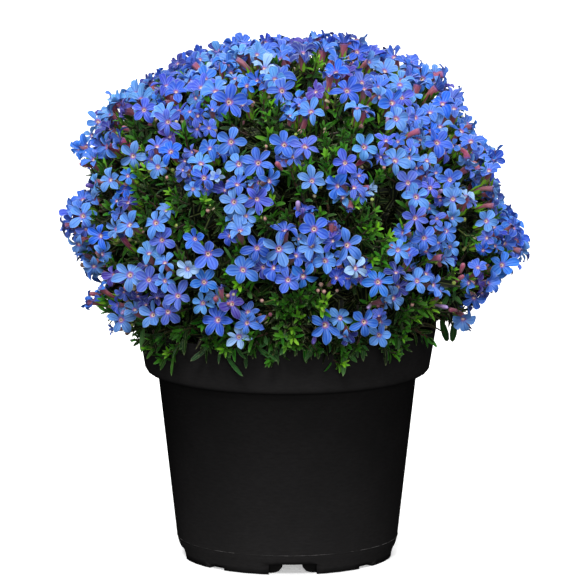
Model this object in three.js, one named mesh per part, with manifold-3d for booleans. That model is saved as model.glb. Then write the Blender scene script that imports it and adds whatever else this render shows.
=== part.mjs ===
// A flowering lithodora in its black nursery pot, in millimetres, +Z up.
// The pot stands on z = 0. The front of the plant faces -Y.
import * as THREE from "three";
import { mergeVertices } from "three/addons/utils/BufferGeometryUtils.js";
import Module from "manifold-3d";

const wasm = await Module();
wasm.setup();

// ---------------------------------------------------------------- dimensions
const POT_H = 118; // height of the rim above the ground
const RIM_R = 75; // outer radius at the rim
const WALL = 1.3;
const WALL_R = 55.6; // outer radius of the wall above the foot
const POT_TURN = 3; // degrees the pot is turned about its axis, so its front notch faces a little to the right
const FLOOR_Z = 6.8; // top of the raised floor over the drain channels
const CHANNEL_H = 5.4; // height of the drain channels and of the deep notches
const CHANNEL_TOP = 9.0; // width of the channel at its top
const CHANNEL_FOOT = 18.6; // width of the channel at the ground
const NOTCH_W = 24; // width of the deep notch in the foot ring
const SMALL_NOTCH_W = 9.6;
const SMALL_NOTCH_H = 2.0;
const SOIL_Z = 103.4; // level of the compost
const GAP = 0.3; // air between pieces that touch
const POT_SEGMENTS = 40;
const PLANT_SHIFT_X = -4.7; // the plant leans a little to its right, so the pot stands left of the middle

const CROWN_Z = 108; // centre of the woody head of the crown
const CROWN_R = 10.5;
const FLOWER_R = 8.2; // corolla radius
const WHORL_CORE = 6.0; // thick middle of a leaf whorl
const FLOWER_STALK = 16.5; // corolla tube and its short stalk

// Reach of the plant from the middle of the rim plane, by elevation in degrees.
const REACH = [
  [-8, 92], [0, 101], [10, 112], [20, 124], [30, 129], [40, 137], [50, 143], [60, 145], [75, 145.5], [90, 145],
];

// ---------------------------------------------------------------- helpers
function seeded(seed) {
  let a = seed >>> 0;
  return () => {
    a = (a + 0x6d2b79f5) >>> 0;
    let t = a;
    t = Math.imul(t ^ (t >>> 15), t | 1);
    t ^= t + Math.imul(t ^ (t >>> 7), t | 61);
    return ((t ^ (t >>> 14)) >>> 0) / 4294967296;
  };
}
const rnd = seeded(20417);
const between = (a, b) => a + (b - a) * rnd();
const V = (x, y, z) => new THREE.Vector3(x, y, z);
const RAD = Math.PI / 180;

function solid(geometry) {
  const g = geometry.clone();
  g.deleteAttribute("normal");
  g.deleteAttribute("uv");
  const m = mergeVertices(g, 1e-4);
  return new wasm.Manifold(
    new wasm.Mesh({
      numProp: 3,
      vertProperties: new Float32Array(m.attributes.position.array),
      triVerts: new Uint32Array(m.index.array),
    })
  );
}

function geometryOf(manifold) {
  const m = manifold.getMesh();
  const g = new THREE.BufferGeometry();
  const n = m.vertProperties.length / m.numProp;
  const p = new Float32Array(n * 3);
  for (let i = 0; i < n; i++) for (let k = 0; k < 3; k++) p[i * 3 + k] = m.vertProperties[i * m.numProp + k];
  g.setAttribute("position", new THREE.BufferAttribute(p, 3));
  g.setIndex(new THREE.BufferAttribute(new Uint32Array(m.triVerts), 1));
  g.computeVertexNormals();
  return g;
}

const union = (list) => list.reduce((a, b) => a.add(b));

function lathe(profile, segments = POT_SEGMENTS) {
  const g = new THREE.LatheGeometry(profile.map(([r, z]) => new THREE.Vector2(r, z)), segments);
  g.rotateX(Math.PI / 2);
  return solid(g);
}

function block(x0, x1, y0, y1, z0, z1) {
  const g = new THREE.BoxGeometry(x1 - x0, y1 - y0, z1 - z0);
  g.translate((x0 + x1) / 2, (y0 + y1) / 2, (z0 + z1) / 2);
  return solid(g);
}

// ---------------------------------------------------------------- pot
function buildPot() {
  const body = lathe([
    [0, 0], [52.9, 0], [53.5, 3.3], [54.9, 7.3], [WALL_R, 10.0], [65.1, 93.6], [66.2, 93.9], [69.2, 94.3], [70.7, 95.1],
    [71.5, 96.4], [71.8, 98.2], [RIM_R, 117.0], [RIM_R, POT_H], [RIM_R - 1.5, POT_H], [70.3, 98.6], [69.9, 97.2],
    [68.9, 95.9], [65.6, 95.3], [65.1 - WALL, 93.8], [WALL_R - WALL, 11.5], [52.4, FLOOR_Z], [0, FLOOR_Z],
  ]);
  const half = CHANNEL_FOOT / 2;
  const top = CHANNEL_TOP / 2;
  const shape = new THREE.Shape();
  shape.moveTo(-half - 0.6, -1);
  shape.lineTo(-half, 0);
  for (let i = 1; i <= 3; i++) {
    const a = (i / 3) * (Math.PI / 2);
    shape.lineTo(-half + (half - top) * Math.sin(a), CHANNEL_H * (1 - Math.cos(a)));
  }
  for (let i = 3; i >= 0; i--) {
    const a = (i / 3) * (Math.PI / 2);
    shape.lineTo(half - (half - top) * Math.sin(a), CHANNEL_H * (1 - Math.cos(a)));
  }
  shape.lineTo(half + 0.6, -1);
  shape.closePath();
  const channel = new THREE.ExtrudeGeometry(shape, { depth: 130, bevelEnabled: false });
  channel.rotateX(Math.PI / 2);
  channel.translate(0, 65, 0);
  let cut = solid(channel);
  cut = cut.add(solid(channel.clone().rotateZ(Math.PI / 2)));
  for (let q = 0; q < 4; q++) {
    const notch = new THREE.BoxGeometry(14, NOTCH_W, CHANNEL_H + 1);
    notch.translate(54.5, 0, (CHANNEL_H - 1) / 2);
    cut = cut.add(solid(notch.rotateZ((q * Math.PI) / 2)));
    const small = new THREE.BoxGeometry(8, SMALL_NOTCH_W, SMALL_NOTCH_H + 1);
    small.translate(53, 0, (SMALL_NOTCH_H - 1) / 2);
    cut = cut.add(solid(small.rotateZ(Math.PI / 4 + (q * Math.PI) / 2)));
    const drain = new THREE.CylinderGeometry(3.4, 3.4, 8, 10);
    drain.rotateX(Math.PI / 2);
    drain.translate(30, 0, 6);
    cut = cut.add(solid(drain.rotateZ((q * Math.PI) / 2)));
  }
  return body.subtract(cut).subtract(pockets(0)).rotate([0, 0, POT_TURN]);
}

// The floor drops to the ground in four quadrants between the channels.
function pockets(inset) {
  const side = CHANNEL_FOOT / 2 + 1.4 + inset;
  const ring = lathe([[0, 1.4 + inset], [50.6 - inset, 1.4 + inset], [50.6 - inset, FLOOR_Z + 1.0], [0, FLOOR_Z + 1.0]], 32);
  const list = [];
  for (let q = 0; q < 4; q++) {
    const quarter = new THREE.BoxGeometry(60, 60, 20);
    quarter.translate(side + 30, side + 30, 5);
    quarter.rotateZ((q * Math.PI) / 2);
    let pocket = ring.intersect(solid(quarter));
    const keepA = new THREE.BoxGeometry(20, NOTCH_W + 2.8 + 2 * inset, 20);
    keepA.translate(47.5 - 1.4 - inset + 10, 0, 0);
    const keepB = new THREE.BoxGeometry(20, SMALL_NOTCH_W + 2.8 + 2 * inset, 2 * (SMALL_NOTCH_H + 1.3 + inset));
    keepB.translate(49 - 1.4 - inset + 10, 0, 0);
    for (let k = 0; k < 4; k++) {
      pocket = pocket.subtract(solid(keepA.clone().rotateZ((k * Math.PI) / 2)));
      pocket = pocket.subtract(solid(keepB.clone().rotateZ(Math.PI / 4 + (k * Math.PI) / 2)));
    }
    list.push(pocket);
  }
  return union(list);
}

// ---------------------------------------------------------------- plant pieces
// A round stem that follows a curve and tapers from one radius to another.
function stem(curve, r0, r1, sides, steps) {
  const g = new THREE.CylinderGeometry(1, 1, 1, sides, steps);
  const frames = curve.computeFrenetFrames(steps, false);
  const p = g.attributes.position;
  for (let i = 0; i < p.count; i++) {
    const t = 0.5 - p.getY(i);
    const s = 1 - t;
    const k = Math.round(s * steps);
    const c = curve.getPointAt(k / steps);
    const r = r0 + (r1 - r0) * (k / steps);
    const out = c
      .clone()
      .addScaledVector(frames.normals[k], p.getX(i) * r)
      .addScaledVector(frames.binormals[k], p.getZ(i) * r);
    p.setXYZ(i, out.x, out.y, out.z);
  }
  const m = solid(g);
  return m.volume() < 0 ? solid(flip(g)) : m;
}

// A point on the straight pieces that a stem with this many steps is made of.
function onStem(curve, t, steps) {
  const k = Math.min(steps - 1, Math.floor(t * steps));
  return curve.getPointAt(k / steps).lerp(curve.getPointAt((k + 1) / steps), t * steps - k);
}

function flip(g) {
  const c = g.clone();
  const a = c.index.array;
  for (let i = 0; i < a.length; i += 3) [a[i], a[i + 1]] = [a[i + 1], a[i]];
  return c;
}

function placed(g, at, dir, spin = 0, scale = 1) {
  const q = new THREE.Quaternion().setFromUnitVectors(V(0, 0, 1), dir.clone().normalize());
  const s = new THREE.Quaternion().setFromAxisAngle(V(0, 0, 1), spin);
  return g.clone().applyMatrix4(new THREE.Matrix4().compose(at, q.multiply(s), V(scale, scale, scale)));
}

// A whorl of narrow leaves round a shoot tip: a small bud with one leaf blade on each face.
function rosette(reach, rand, grow = 0) {
  const ico = new THREE.IcosahedronGeometry(WHORL_CORE + grow, 0);
  const p = ico.attributes.position;
  const out = [];
  for (let f = 0; f < p.count; f += 3) {
    const a = V(p.getX(f), p.getY(f), p.getZ(f));
    const b = V(p.getX(f + 1), p.getY(f + 1), p.getZ(f + 1));
    const c = V(p.getX(f + 2), p.getY(f + 2), p.getZ(f + 2));
    const n = a.clone().add(b).add(c).normalize();
    const up = n.z;
    if (up < -0.35) {
      out.push(a.x, a.y, a.z, b.x, b.y, b.z, c.x, c.y, c.z);
      continue;
    }
    const len = reach * (0.62 + 0.38 * (1 - Math.abs(up - 0.25))) * (0.85 + 0.3 * rand());
    n.z += 0.25;
    n.normalize();
    const tip = n.multiplyScalar(len + grow * 2);
    for (const [u, v] of [[a, b], [b, c], [c, a]]) out.push(u.x, u.y, u.z, v.x, v.y, v.z, tip.x, tip.y, tip.z);
  }
  const g = new THREE.BufferGeometry();
  g.setAttribute("position", new THREE.Float32BufferAttribute(out, 3));
  return g;
}

// One long hanging leaf, a thin lens.
function leafBlade(length, width, thick) {
  const g = new THREE.OctahedronGeometry(1, 0);
  g.scale(width / 2, thick / 2, length / 2);
  g.translate(0, 0, length / 2 - 1.2);
  return g;
}

// A corolla with its tube: five blue lobes around the throat.
function corolla(r, stalk, grow = 0) {
  const g = new THREE.LatheGeometry(
    [
      new THREE.Vector2(0, -stalk),
      new THREE.Vector2(1.45 + grow, -3.2),
      new THREE.Vector2(r + grow, 1.2),
      new THREE.Vector2(0, -0.6 + grow),
    ],
    10
  );
  g.rotateX(Math.PI / 2);
  const p = g.attributes.position;
  for (let i = 0; i < p.count; i++) {
    const x = p.getX(i);
    const y = p.getY(i);
    if (Math.hypot(x, y) < 3) continue;
    const k = Math.round((Math.atan2(y, x) / (2 * Math.PI)) * 10 + 10) % 2;
    if (k === 1) p.setXYZ(i, x * 0.48, y * 0.48, p.getZ(i) - 0.9);
  }
  return g;
}

function reachAt(elevationDeg) {
  for (let i = 1; i < REACH.length; i++) {
    const [e1, r1] = REACH[i];
    const [e0, r0] = REACH[i - 1];
    if (elevationDeg <= e1) return r0 + ((r1 - r0) * Math.max(0, elevationDeg - e0)) / (e1 - e0);
  }
  return REACH[REACH.length - 1][1];
}

// A point of the plant's outer surface, drawn back by a depth.
function surface(azimuth, elevation, depth = 0) {
  const a = azimuth * RAD;
  const e = elevation * RAD;
  const lean = 4.7 * Math.max(0, Math.min(1, (elevation + 5) / 30)) * Math.cos(e);
  const r = reachAt(elevation) - depth;
  return V(r * Math.cos(e) * Math.cos(a) + lean, r * Math.cos(e) * Math.sin(a) - 2.2 * Math.cos(e), POT_H + r * Math.sin(e));
}

function outward(azimuth, elevation) {
  const a = azimuth * RAD;
  const e = elevation * RAD;
  return V(Math.cos(e) * Math.cos(a), Math.cos(e) * Math.sin(a), Math.sin(e));
}

// ---------------------------------------------------------------- assembly
const taken = []; // { node, solid, box }
const boxOf = (m) => {
  const b = m.boundingBox();
  return new THREE.Box3(V(...b.min), V(...b.max));
};
function clear(node, candidate) {
  const b = boxOf(candidate);
  for (const t of taken) {
    if (t.node === node || !t.box.intersectsBox(b)) continue;
    if (!t.solid.intersect(candidate).isEmpty()) return false;
  }
  return true;
}
const take = (node, m) => taken.push({ node, solid: m, box: boxOf(m) });

const pot = buildPot();
take("pot", pot);

// root crown: a woody head half out of the compost, with its main roots
function crownSolid(grow) {
  const head = new THREE.IcosahedronGeometry(1, 1);
  const list = [solid(head.scale(CROWN_R - 1 + grow, CROWN_R - 1 + grow, 7.5 + grow).translate(0, 0, CROWN_Z - 3))];
  const root = (points, r0, r1, steps) =>
    list.push(stem(new THREE.CatmullRomCurve3(points), r0 + grow, r1 + grow, 5, steps));
  root([V(0, 0, CROWN_Z - 5), V(1.5, 0.5, 85), V(-1, 1, 62), V(0.5, -0.5, 38 - grow)], 4.6, 1.0, 3);
  for (let k = 0; k < 5; k++) {
    const a = k * 72 * RAD + 0.4;
    const c = Math.cos(a);
    const s = Math.sin(a);
    root([V(2 * c, 2 * s, 99), V(16 * c, 16 * s, 92 - k), V(34 * c, 34 * s, 76 - 2 * k), V(44 * c, 44 * s, 52 - grow)], 2.4, 0.8, 3);
  }
  return union(list);
}
const crown = crownSolid(0);

function soilSolid() {
  const top = new THREE.LatheGeometry(
    [
      [0, FLOOR_Z + GAP], [51.8, FLOOR_Z + GAP], [WALL_R - WALL - GAP - 0.2, 12], [65.1 - WALL - GAP - 0.2, 94],
      [65.2, 95.9], [68.4, 96.5], [69.3, 97.6], [69.8, 98.8], [70.4, SOIL_Z - 0.8], [54, SOIL_Z + 0.6],
      [30, SOIL_Z - 0.5], [0, SOIL_Z],
    ].map(([r, z]) => new THREE.Vector2(r, z)),
    POT_SEGMENTS / 2
  );
  top.rotateX(Math.PI / 2);
  const p = top.attributes.position;
  for (let i = 0; i < p.count; i++) {
    const x = p.getX(i);
    const y = p.getY(i);
    const r = Math.hypot(x, y);
    if (p.getZ(i) > SOIL_Z - 2 && r < 68 && r > 1) p.setZ(i, p.getZ(i) + 0.9 * Math.sin(x * 0.31 + y * 0.17) * Math.cos(y * 0.27 - x * 0.11));
  }
  return solid(top).add(pockets(GAP)).rotate([0, 0, POT_TURN]).subtract(crownSolid(GAP));
}
const soil = soilSolid();
take("potting_soil", soil);
take("root_crown", crown);

const PLAN = [];
const tier = (count, elevation, offset, swing) => {
  for (let k = 0; k < count; k++)
    PLAN.push({ azimuth: offset + (k * 360) / count, elevation: elevation + (k % 2 ? swing : -swing), turn: 120 / count });
};
tier(10, 15, -90, 5);
tier(8, 38, -78, 4);
tier(5, 63, -104, 3);
tier(1, 87, 20, 0);

const two = (n) => String(n + 1).padStart(2, "0");
const nodes = new Map(); // name -> list of solids
const add = (node, m) => {
  if (!nodes.has(node)) nodes.set(node, []);
  nodes.get(node).push(m);
  take(node, m);
};

// woody branches with their side shoots
const tips = [];
PLAN.forEach((b, i) => {
  const node = `leafy_branch_${two(i)}`;
  const low = b.elevation < 28;
  const start = outward(b.azimuth, b.elevation < 28 ? 12 : b.elevation < 50 ? 37 : b.elevation).multiplyScalar(CROWN_R + GAP + 0.6).add(V(0, 0, CROWN_Z));
  const end = surface(b.azimuth, b.elevation, 17);
  const span = start.distanceTo(end);
  const d0 = outward(b.azimuth, low ? 17 + (b.elevation - 10) * 0.8 : b.elevation + 6);
  const d1 = outward(b.azimuth + between(-7, 7), low ? b.elevation - 14 : b.elevation - 8);
  const curve = new THREE.CubicBezierCurve3(
    start, start.clone().addScaledVector(d0, span * 0.4), end.clone().addScaledVector(d1, -span * 0.35), end
  );
  for (let tries = 0; tries < 12 && !clear(node, stem(curve, 2.05, 1.3, 5, 5)); tries++) {
    curve.v1.z += tries % 2 ? 2 : -1.5;
    curve.v2.x += 1.5 * Math.sin(tries * 2.4);
    curve.v2.y += 1.5 * Math.cos(tries * 2.4);
  }
  add(node, stem(curve, 1.7, 0.95, 5, 5));
  tips.push({ node, at: end, dir: outward(b.azimuth, b.elevation), main: true, index: i });
  const high = b.elevation > 80;
  const sides = [
    [-b.turn * between(0.9, 1.05), high ? -10 : between(3, 7)],
    [b.turn * between(0.9, 1.05), high ? -10 : between(3, 7)],
  ];
  if (b.elevation > 15) sides.push([between(-2, 2), high ? -12 : -9.5]);
  sides.forEach(([da, de], k) => {
    const from = onStem(curve, 0.58 + 0.09 * k, 5);
    const e = Math.max(-3, b.elevation + de);
    const to = surface(b.azimuth + da, Math.min(e, 86), 15 + 3 * k);
    const mid = from.clone().lerp(to, 0.5).add(V(0, 0, low ? 3 : 4));
    const side = new THREE.QuadraticBezierCurve3(from, mid, to);
    for (let tries = 0; tries < 8; tries++) {
      if (clear(node, stem(side, 1.5, 1.2, 5, 2))) {
        add(node, stem(side, 1.1, 0.8, 4, 2));
        tips.push({ node, at: to.clone(), dir: outward(b.azimuth + da, e), main: false, index: i });
        return;
      }
      side.v2.lerp(tips[tips.length - 1 - k].at, 0.15);
      side.v1.z += 2;
    }
  });
});

// shoots that trail over the rim
const TRAILS = 8;
for (let k = 0; k < TRAILS; k++) {
  const node = `trailing_shoot_${two(k)}`;
  const azimuth = -108 + 36 * (k < 5 ? k : k + 1); // between two low branches
  const at = (r, z, turn = 0) => {
    const a = (azimuth + turn) * RAD;
    return V(r * Math.cos(a), r * Math.sin(a), z);
  };
  const lift = k % 2 ? 2 : 0;
  const curve = new THREE.CatmullRomCurve3([
    at(CROWN_R + 1.4, CROWN_Z - 1.6), at(40, 112), at(72, 122 + lift, 2), at(86, 119 + lift, 4), at(93, 112 + lift, 6),
  ]);
  for (let tries = 0; tries < 12 && !clear(node, stem(curve, 1.65, 1.05, 5, 6)); tries++) {
    for (const i of [1, 2]) {
      curve.points[i].z += tries % 2 ? 1.5 : -1.2;
      curve.points[i].applyAxisAngle(V(0, 0, 1), (tries % 3 ? 2 : -3) * RAD);
    }
  }
  add(node, stem(curve, 1.3, 0.7, 5, 6));
  for (let j = 0; j < 8; j++) {
    const t = 0.68 + 0.044 * j;
    const c = onStem(curve, Math.min(t, 0.995), 6);
    const along = curve.getTangentAt(Math.min(t, 0.995));
    const across = along.clone().cross(V(0, 0, 1)).normalize();
    const angle = j * 137.5 * RAD;
    const up = across.clone().cross(along).normalize();
    const dir = along
      .clone()
      .multiplyScalar(0.75)
      .addScaledVector(across, Math.cos(angle) * 0.9)
      .addScaledVector(up, Math.sin(angle) * 0.45)
      .normalize();
    dir.z -= 0.25;
    for (let tries = 0; tries < 6; tries++) {
      const len = between(14, 19) * (1 - 0.1 * tries);
      if (clear(node, solid(placed(leafBlade(len + 0.8, 5.2, 1.9), c, dir, 0.3)))) {
        add(node, solid(placed(leafBlade(len, 4.4, 1.3), c, dir, 0.3)));
        break;
      }
      dir.addScaledVector(up, 0.2).normalize();
    }
  }
}

// flower sprays, one above each branch tip
const FLOWERS = [4, 3, 4, 3, 4, 4, 3];
PLAN.forEach((b, i) => {
  const node = `flower_spray_${two(i)}`;
  const tip = tips.find((t) => t.main && t.index === i);
  const n = tip.dir.clone();
  if (b.elevation < 25) n.add(V(0, 0, 0.15)).normalize();
  const start = tip.at.clone().addScaledVector(n, 1.0 + GAP + 0.4);
  const hub = start.clone().addScaledVector(n, 3.2);
  const side = n.clone().cross(V(0, 0, 1)).normalize();
  if (side.length() < 0.5) side.set(1, 0, 0);
  const up = side.clone().cross(n).normalize();
  add(node, stem(new THREE.LineCurve3(start, hub), 0.9, 1.3, 4, 1));
  const count = FLOWERS[i % FLOWERS.length];
  const base = between(0, Math.PI * 2);
  for (let k = 0; k < count; k++) {
    const a = base + (k / count) * Math.PI * 2;
    let lean = 0.95;
    for (let tries = 0; tries < 10; tries++) {
      const dir = n
        .clone()
        .addScaledVector(side, Math.cos(a + tries * 0.13) * lean)
        .addScaledVector(up, Math.sin(a + tries * 0.13) * lean)
        .normalize();
      const distance = FLOWER_STALK - tries * 0.5;
      const at = hub.clone().addScaledVector(dir, distance);
      const spin = between(0, 6);
      const r = FLOWER_R - tries * 0.25;
      if (clear(node, solid(placed(corolla(r, distance - 1, 0.35), at, dir, spin)))) {
        add(node, solid(placed(corolla(r, distance + 1.2), at, dir, spin)));
        break;
      }
      lean *= 0.94;
    }
  }
});

// leaf whorls at the ends of the shoots
tips.forEach((tip, k) => {
  const back = tip.main ? -2.5 : 0;
  const at = tip.at.clone().addScaledVector(tip.dir, back);
  const size = tip.main ? 17 : 19;
  for (let tries = 0; tries < 26; tries++) {
    const scale = Math.pow(0.93, Math.floor(tries / 3));
    const spin = between(0, Math.PI * 2);
    const seed = 900 + k * 31 + tries;
    const lean = tip.dir.clone().add(V(between(-0.5, 0.5), between(-0.5, 0.5), between(-0.2, 0.5))).normalize();
    const off = at.clone().add(V(between(-1, 1), between(-1, 1), between(-1, 1)).multiplyScalar(Math.min(tries * 0.4, 3.4)));
    if (clear(tip.node, solid(placed(rosette(size, seeded(seed), 0.35), off, lean, spin, scale)))) {
      add(tip.node, solid(placed(rosette(size, seeded(seed)), off, lean, spin, scale)));
      return;
    }
  }
});

// ---------------------------------------------------------------- materials and group
const group = new THREE.Group();
group.name = "potted_lithodora";
const plant = new THREE.Group();
plant.position.set(PLANT_SHIFT_X, 0, 0);
group.add(plant);

function node(name, m, color, roughness) {
  const mesh = new THREE.Mesh(
    geometryOf(m),
    new THREE.MeshStandardMaterial({ color, roughness, metalness: 0, flatShading: true })
  );
  mesh.name = name;
  plant.add(mesh);
}

node("pot", pot, 0x1f1f1f, 0.5);
node("potting_soil", soil, 0x2a1c12, 0.95);
node("root_crown", crown, 0x6b4a30, 0.9);
const LEAF = [0x2f5d16, 0x3d7a1c, 0x294f14, 0x4b8a22];
const BLUE = [0x4a86ea, 0x3f63e0, 0x5b9bf2, 0x5a4fd0];
let n = 0;
for (const [name, list] of nodes) {
  const m = union(list);
  if (name.startsWith("leafy_branch")) node(name, m, LEAF[n % LEAF.length], 0.6);
  else if (name.startsWith("trailing_shoot")) node(name, m, 0x35592f, 0.65);
  else node(name, m, BLUE[n % BLUE.length], 0.45);
  n++;
}

export default group;
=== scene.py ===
import math

import bmesh
import bpy
import numpy as np
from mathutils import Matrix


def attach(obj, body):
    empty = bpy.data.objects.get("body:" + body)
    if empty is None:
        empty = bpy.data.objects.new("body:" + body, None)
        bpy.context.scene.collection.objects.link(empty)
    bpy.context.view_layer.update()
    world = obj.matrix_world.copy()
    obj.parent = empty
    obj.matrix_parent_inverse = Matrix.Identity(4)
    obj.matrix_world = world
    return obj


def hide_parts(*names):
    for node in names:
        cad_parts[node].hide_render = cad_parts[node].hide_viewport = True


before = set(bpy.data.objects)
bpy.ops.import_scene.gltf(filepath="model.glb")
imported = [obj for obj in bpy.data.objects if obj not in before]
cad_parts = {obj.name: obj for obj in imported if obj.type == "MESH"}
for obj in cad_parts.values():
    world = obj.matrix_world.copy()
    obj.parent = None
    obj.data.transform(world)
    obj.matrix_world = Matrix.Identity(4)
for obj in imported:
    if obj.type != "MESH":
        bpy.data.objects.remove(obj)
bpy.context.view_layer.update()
scene = bpy.context.scene
rng = np.random.default_rng(4107)
MM = 0.001
UP = np.array([0.0, 0.0, 1.0])
AXIS = np.array([-0.0047, 0.0, 0.0])  # the pot's axis
HEART = AXIS + np.array([0.0, 0.0, 0.118])  # middle of the rim

# ------------------------------------------------------------------ camera
TILT = math.radians(10)
BACK = np.array([0.0, -math.cos(TILT), math.sin(TILT)])
RIGHT = np.array([1.0, 0.0, 0.0])
OVER = np.array([0.0, math.sin(TILT), math.cos(TILT)])
AIM = np.array([-0.0024, 0.0, 0.13366])
FAR = 3.6
PX = 0.0005017  # metres per picture unit at the pot's axis
EYE = AIM + BACK * FAR

camera = bpy.data.objects.new("photo_view", bpy.data.cameras.new("photo_view"))
camera.data.sensor_width = 36
camera.data.lens = 36 * FAR / (584 * PX)
camera.data.clip_start = 0.1
camera.data.clip_end = 100
camera.location = EYE
camera.rotation_euler = (math.radians(80), 0, 0)
scene.collection.objects.link(camera)
scene.camera = camera


def unit(v):
    v = np.asarray(v, float)
    return v / np.maximum(np.linalg.norm(v, axis=-1, keepdims=True), 1e-12)


def on_picture(p):
    v = np.asarray(p) - EYE
    depth = -(v @ BACK)
    return np.stack([292 + v @ RIGHT / depth * FAR / PX, 292 - v @ OVER / depth * FAR / PX], -1)


# ------------------------------------------------------------------ the plant's outer surface
REACH_EL = [-40, -16, -8, 0, 4, 10, 20, 30, 40, 50, 60, 75, 90]
REACH_R = [72, 76, 80, 88, 96, 104, 121, 129, 137, 143, 145, 145.5, 145]
_k = rng.normal(size=(14, 3))
_f = rng.uniform(0, 2 * np.pi, 14)


def waves(p, size, first=0, count=5):
    """Smooth noise of about -1 to 1 with bumps of about that size in metres."""
    k = _k[first : first + count] * (2.2 / size)
    return np.sin(np.asarray(p) @ k.T + _f[first : first + count]).sum(-1) / (0.62 * count)


def lean(el):
    return 0.0047 * np.clip((el + 5) / 30, 0, 1) * np.cos(np.radians(el))


def reach(el):
    return np.interp(el, REACH_EL, REACH_R) * MM


def hull(az, el, depth=0.0):
    """A point of the outer surface, drawn back by a depth in metres."""
    a, e = np.radians(az), np.radians(el)
    r = reach(el) - depth
    return HEART + np.stack(
        [
            r * np.cos(e) * np.cos(a) + lean(el),
            r * np.cos(e) * np.sin(a) - 0.0022 * np.cos(e),
            r * np.sin(e),
        ],
        -1,
    )


def outness(p):
    """How far out a point is: 1 on the outer surface. Also gives the outward direction."""
    q = np.asarray(p, float) - HEART
    for _ in range(2):
        el = np.degrees(np.arctan2(q[..., 2], np.hypot(q[..., 0], q[..., 1])))
        q = np.asarray(p, float) - HEART
        q[..., 0] -= lean(el)
        q[..., 1] += 0.0022 * np.cos(np.radians(el))
    return np.linalg.norm(q, axis=-1) / reach(el), unit(q)


# how far the plant reaches in the picture, round the place 290, 215, every 4 degrees from -40 to 220
OUTLINE = np.array([
    190, 204, 214, 208, 208, 220, 226, 238, 240, 232,
    222, 211, 210, 207, 214, 209, 205, 207, 206, 208, 210, 212, 204, 202, 196, 190, 189, 194, 190, 192, 187, 184, 178, 180,
    181, 179, 186, 190, 188, 184, 189, 191, 191, 191, 199, 203, 208, 219, 220, 224, 229, 229, 198, 204, 220, 226, 229, 219,
    215, 209, 202, 218, 210, 204, 201, 200,
])


def drawn_in(p, room):
    """Moves a place inward until it shows that many picture units inside the outline."""
    p = np.array(p, float)
    for _ in range(3):
        x, y = on_picture(p)
        ang = math.degrees(math.atan2(215 - y, x - 290))
        ang = ang + 360 if ang < -90 else ang
        if not -40 <= ang <= 220:
            return p
        limit = np.interp(ang, np.arange(-40, 221, 4), OUTLINE) - room
        far = math.hypot(x - 290, y - 215)
        if far <= limit:
            return p
        q = p - HEART
        p = HEART + q * (1 - (far - limit) * PX / max(np.linalg.norm(q), 0.03))
    return p


STEPS = np.linspace(-0.17, 0.06, 240)


def seen_at(x, y, depth):
    """The place on the outer surface, less a depth, that shows at a place in the picture."""
    d = unit(AIM + RIGHT * (x - 292) * PX + OVER * (292 - y) * PX - EYE)
    pts = EYE + d * ((STEPS - EYE[1]) / d[1])[:, None]
    q, out = outness(pts)
    q = q - 1 + depth / 0.13
    inside = np.nonzero(q < 0)[0]
    k = inside[0] if len(inside) else int(np.argmin(q))
    return pts[k], out[k], float(q[k])


# ------------------------------------------------------------------ meshes
PIECE_MATERIALS = {}


class Soup:
    """Collects batches of small patches that become one mesh."""

    def __init__(self, name, materials):
        self.name, self.materials = name, materials
        self.v, self.f, self.uv, self.bake, self.mi = [], [], [], [], []
        self.count = 0

    def add(self, verts, faces, local, tile, kind):
        """verts (n, k, 3); faces (m, 4), with -1 last for a triangle; local (k, 2); tile (n, 2)."""
        verts = np.asarray(verts, float)
        n, k = verts.shape[:2]
        if not n:
            return
        slot, (x0, y0, x1, y1), (nx, ny) = self.materials[kind]
        local = 0.05 + 0.9 * np.broadcast_to(local, (n, k, 2))
        uv = tile[:, None, :] + local
        region = np.array([x0, y0]) + uv / np.array([nx, ny]) * np.array([x1 - x0, y1 - y0])
        f = np.asarray(faces)[None] + np.where(np.asarray(faces)[None] < 0, 0, 1) * (
            (self.count + np.arange(n) * k)[:, None, None]
        )
        self.v.append(verts.reshape(-1, 3))
        self.f.append(f.reshape(-1, 4))
        self.uv.append(uv.reshape(-1, 2))
        self.bake.append(region.reshape(-1, 2))
        self.mi.append(np.full(n * len(faces), slot))
        self.count += n * k

    def build(self, mats, node, slot):
        v, f = np.concatenate(self.v), np.concatenate(self.f)
        uv, bake, mi = np.concatenate(self.uv), np.concatenate(self.bake), np.concatenate(self.mi)
        tri = f[:, 3] < 0
        sizes = np.where(tri, 3, 4)
        keep = np.ones(f.shape, bool)
        keep[:, 3] = ~tri
        loops = f[keep]
        me = bpy.data.meshes.new(self.name)
        me.vertices.add(len(v))
        me.vertices.foreach_set("co", v.astype(np.float32).ravel())
        me.loops.add(len(loops))
        me.loops.foreach_set("vertex_index", loops.astype(np.int32))
        me.polygons.add(len(f))
        starts = np.concatenate([[0], np.cumsum(sizes)[:-1]]).astype(np.int32)
        me.polygons.foreach_set("loop_start", starts)
        for m in mats:
            me.materials.append(m)
        me.polygons.foreach_set("material_index", mi.astype(np.int32))
        me.polygons.foreach_set("use_smooth", np.ones(len(f), bool))
        for name, data in (("UVMap", uv), ("OFBake", bake)):
            layer = me.uv_layers.new(name=name)
            layer.data.foreach_set("uv", data[loops].astype(np.float32).ravel())
        me.update()
        me.validate()
        ob = bpy.data.objects.new(self.name, me)
        scene.collection.objects.link(ob)
        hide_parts(node)
        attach(ob, "root")
        return int((sizes - 2).sum())


def grid_faces(rows, cols, tip=False):
    """Faces of a rows by cols sheet of points; with tip, one more point closes it."""
    out = []
    for i in range(rows - 1):
        for j in range(cols - 1):
            a = i * cols + j
            out.append([a, a + 1, a + cols + 1, a + cols])
    if tip:
        t = rows * cols
        for j in range(cols - 1):
            a = (rows - 1) * cols + j
            out.append([a, a + 1, t, -1])
    return np.array(out)


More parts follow.
